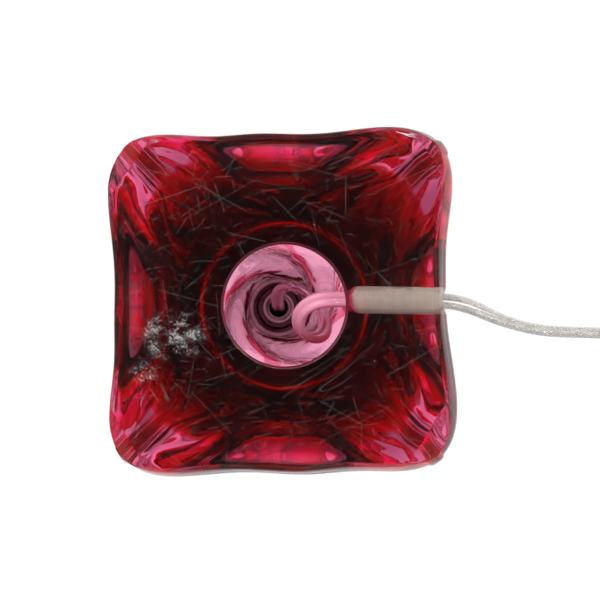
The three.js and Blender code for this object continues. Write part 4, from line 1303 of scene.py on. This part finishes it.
def make_deep():
    phi = rib_angles(240)
    low, high = DEEP_Z
    q = (1 - np.cos(4 * phi)) / 2
    rows = [ring(inside(phi, z) + 0.4, phi, z, True) for z in np.linspace(low, high, 5)]
    for t in np.linspace(0, 1, 7):  # thins out to nothing at its edge
        side, corner = DEEP_SIDE[0] + (DEEP_SIDE[1] - DEEP_SIDE[0]) * t, DEEP_CORNER[0] + (DEEP_CORNER[1] - DEEP_CORNER[0]) * t
        rows.append(ring(side + (corner - side) * q, phi, high + (low - high) * t, False))
    belly = ring(DEEP_BELLY[0] + (DEEP_BELLY[1] - DEEP_BELLY[0]) * q, phi, low, False)
    belly[:, 2] -= DEEP_DROP * q
    rows.append(belly)
    ob = grid_mesh("ruby_foot", rows, [DEEP_GLASS])
    drill(ob, DEEP_GLASS)
    place(ob, "lamp", ())
    return ob


crystal = make_crystal()
ruby = make_ruby()
ruby_foot = make_deep()

# ------------------------------------------------- floor, surroundings, light
def make_floor():
    """Pale floor that is seen only from above, so that the camera under it looks straight through."""
    m, t, b, out = node_material("floor")
    n = Nodes(t)
    b.inputs["Roughness"].default_value = 0.7
    # through the glass the floor counts as shaded by the foot that stands on it
    path = n.add("ShaderNodeLightPath")
    through = n.math("GREATER_THAN", path.outputs["Transmission Depth"], 0.5)
    n.put(b.inputs["Base Color"], n.mix(through, rgb(0.86, 0.86, 0.855), rgb(0.45, 0.45, 0.45)))
    # Seen from below there is no floor, nor for the lights that stand below the foot.
    x, y, _ = n.split(n.coords())
    close = n.ramp(n.vmath("LENGTH", n.join(x, y, 0.0)), 0.108, 0.122, 1.0, 0.0)
    back = n.math("MAXIMUM", n.add("ShaderNodeNewGeometry").outputs["Backfacing"], n.math("MULTIPLY", path.outputs["Is Shadow Ray"], close))
    clear = n.add("ShaderNodeBsdfTransparent")
    mix = n.add("ShaderNodeMixShader")
    n.put(mix.inputs[0], back)
    t.links.new(b.outputs[0], mix.inputs[1])
    t.links.new(clear.outputs[0], mix.inputs[2])
    t.links.new(mix.outputs[0], out.inputs["Surface"])
    me = bpy.data.meshes.new("floor")
    s = 40.0
    me.from_pydata([(-s, -s, -0.0003), (s, -s, -0.0003), (s, s, -0.0003), (-s, s, -0.0003)], [], [(0, 1, 2, 3)])
    me.materials.append(m)
    ob = bpy.data.objects.new("floor", me)
    scene.collection.objects.link(ob)


def make_world():
    """An even white studio above, falling off to dark below."""
    w = bpy.data.worlds.new("studio")
    scene.world = w
    w.use_nodes = True
    t = w.node_tree
    n = Nodes(t)
    bg = t.nodes["Background"]
    bg.inputs[0].default_value = (1, 1, 1, 1)
    up = n.split(n.add("ShaderNodeTexCoord").outputs["Generated"])[2]
    low = n.ramp(up, -0.25, 0.05, 0.03, 0.35, smooth=False)
    n.put(bg.inputs[1], n.math("ADD", low, n.ramp(up, 0.20, 0.80, 0.0, 0.68)))


def make_lights():
    """Soft panels and two lamps beside the camera, below the floor, for the underside, the cord and the frosted hole."""
    for name, at, size, watts in (
        ("panel_left", (0.36, -0.52, -0.62), 0.50, 11.0),
        ("panel_right", (0.36, 0.52, -0.62), 0.50, 11.0),
        ("lamp_left", (0.20, -0.09, -0.95), 0.07, 1.2),
        ("lamp_right", (0.20, 0.09, -0.95), 0.07, 1.2),
    ):
        data = bpy.data.lights.new(name, "AREA")
        data.shape, data.size, data.energy = "DISK", size, watts
        ob = bpy.data.objects.new(name, data)
        scene.collection.objects.link(ob)
        ob.location = at
        ob.rotation_euler = (Vector((0, 0, 0.01)) - Vector(at)).to_track_quat("-Z", "Y").to_euler()


make_floor()
make_world()
make_lights()
scene.cycles.max_bounces = 32
scene.cycles.transmission_bounces = 32
scene.cycles.glossy_bounces = 16
scene.cycles.transparent_max_bounces = 64
scene.cycles.caustics_reflective = True
scene.cycles.caustics_refractive = True
scene.view_settings.view_transform = "Standard"
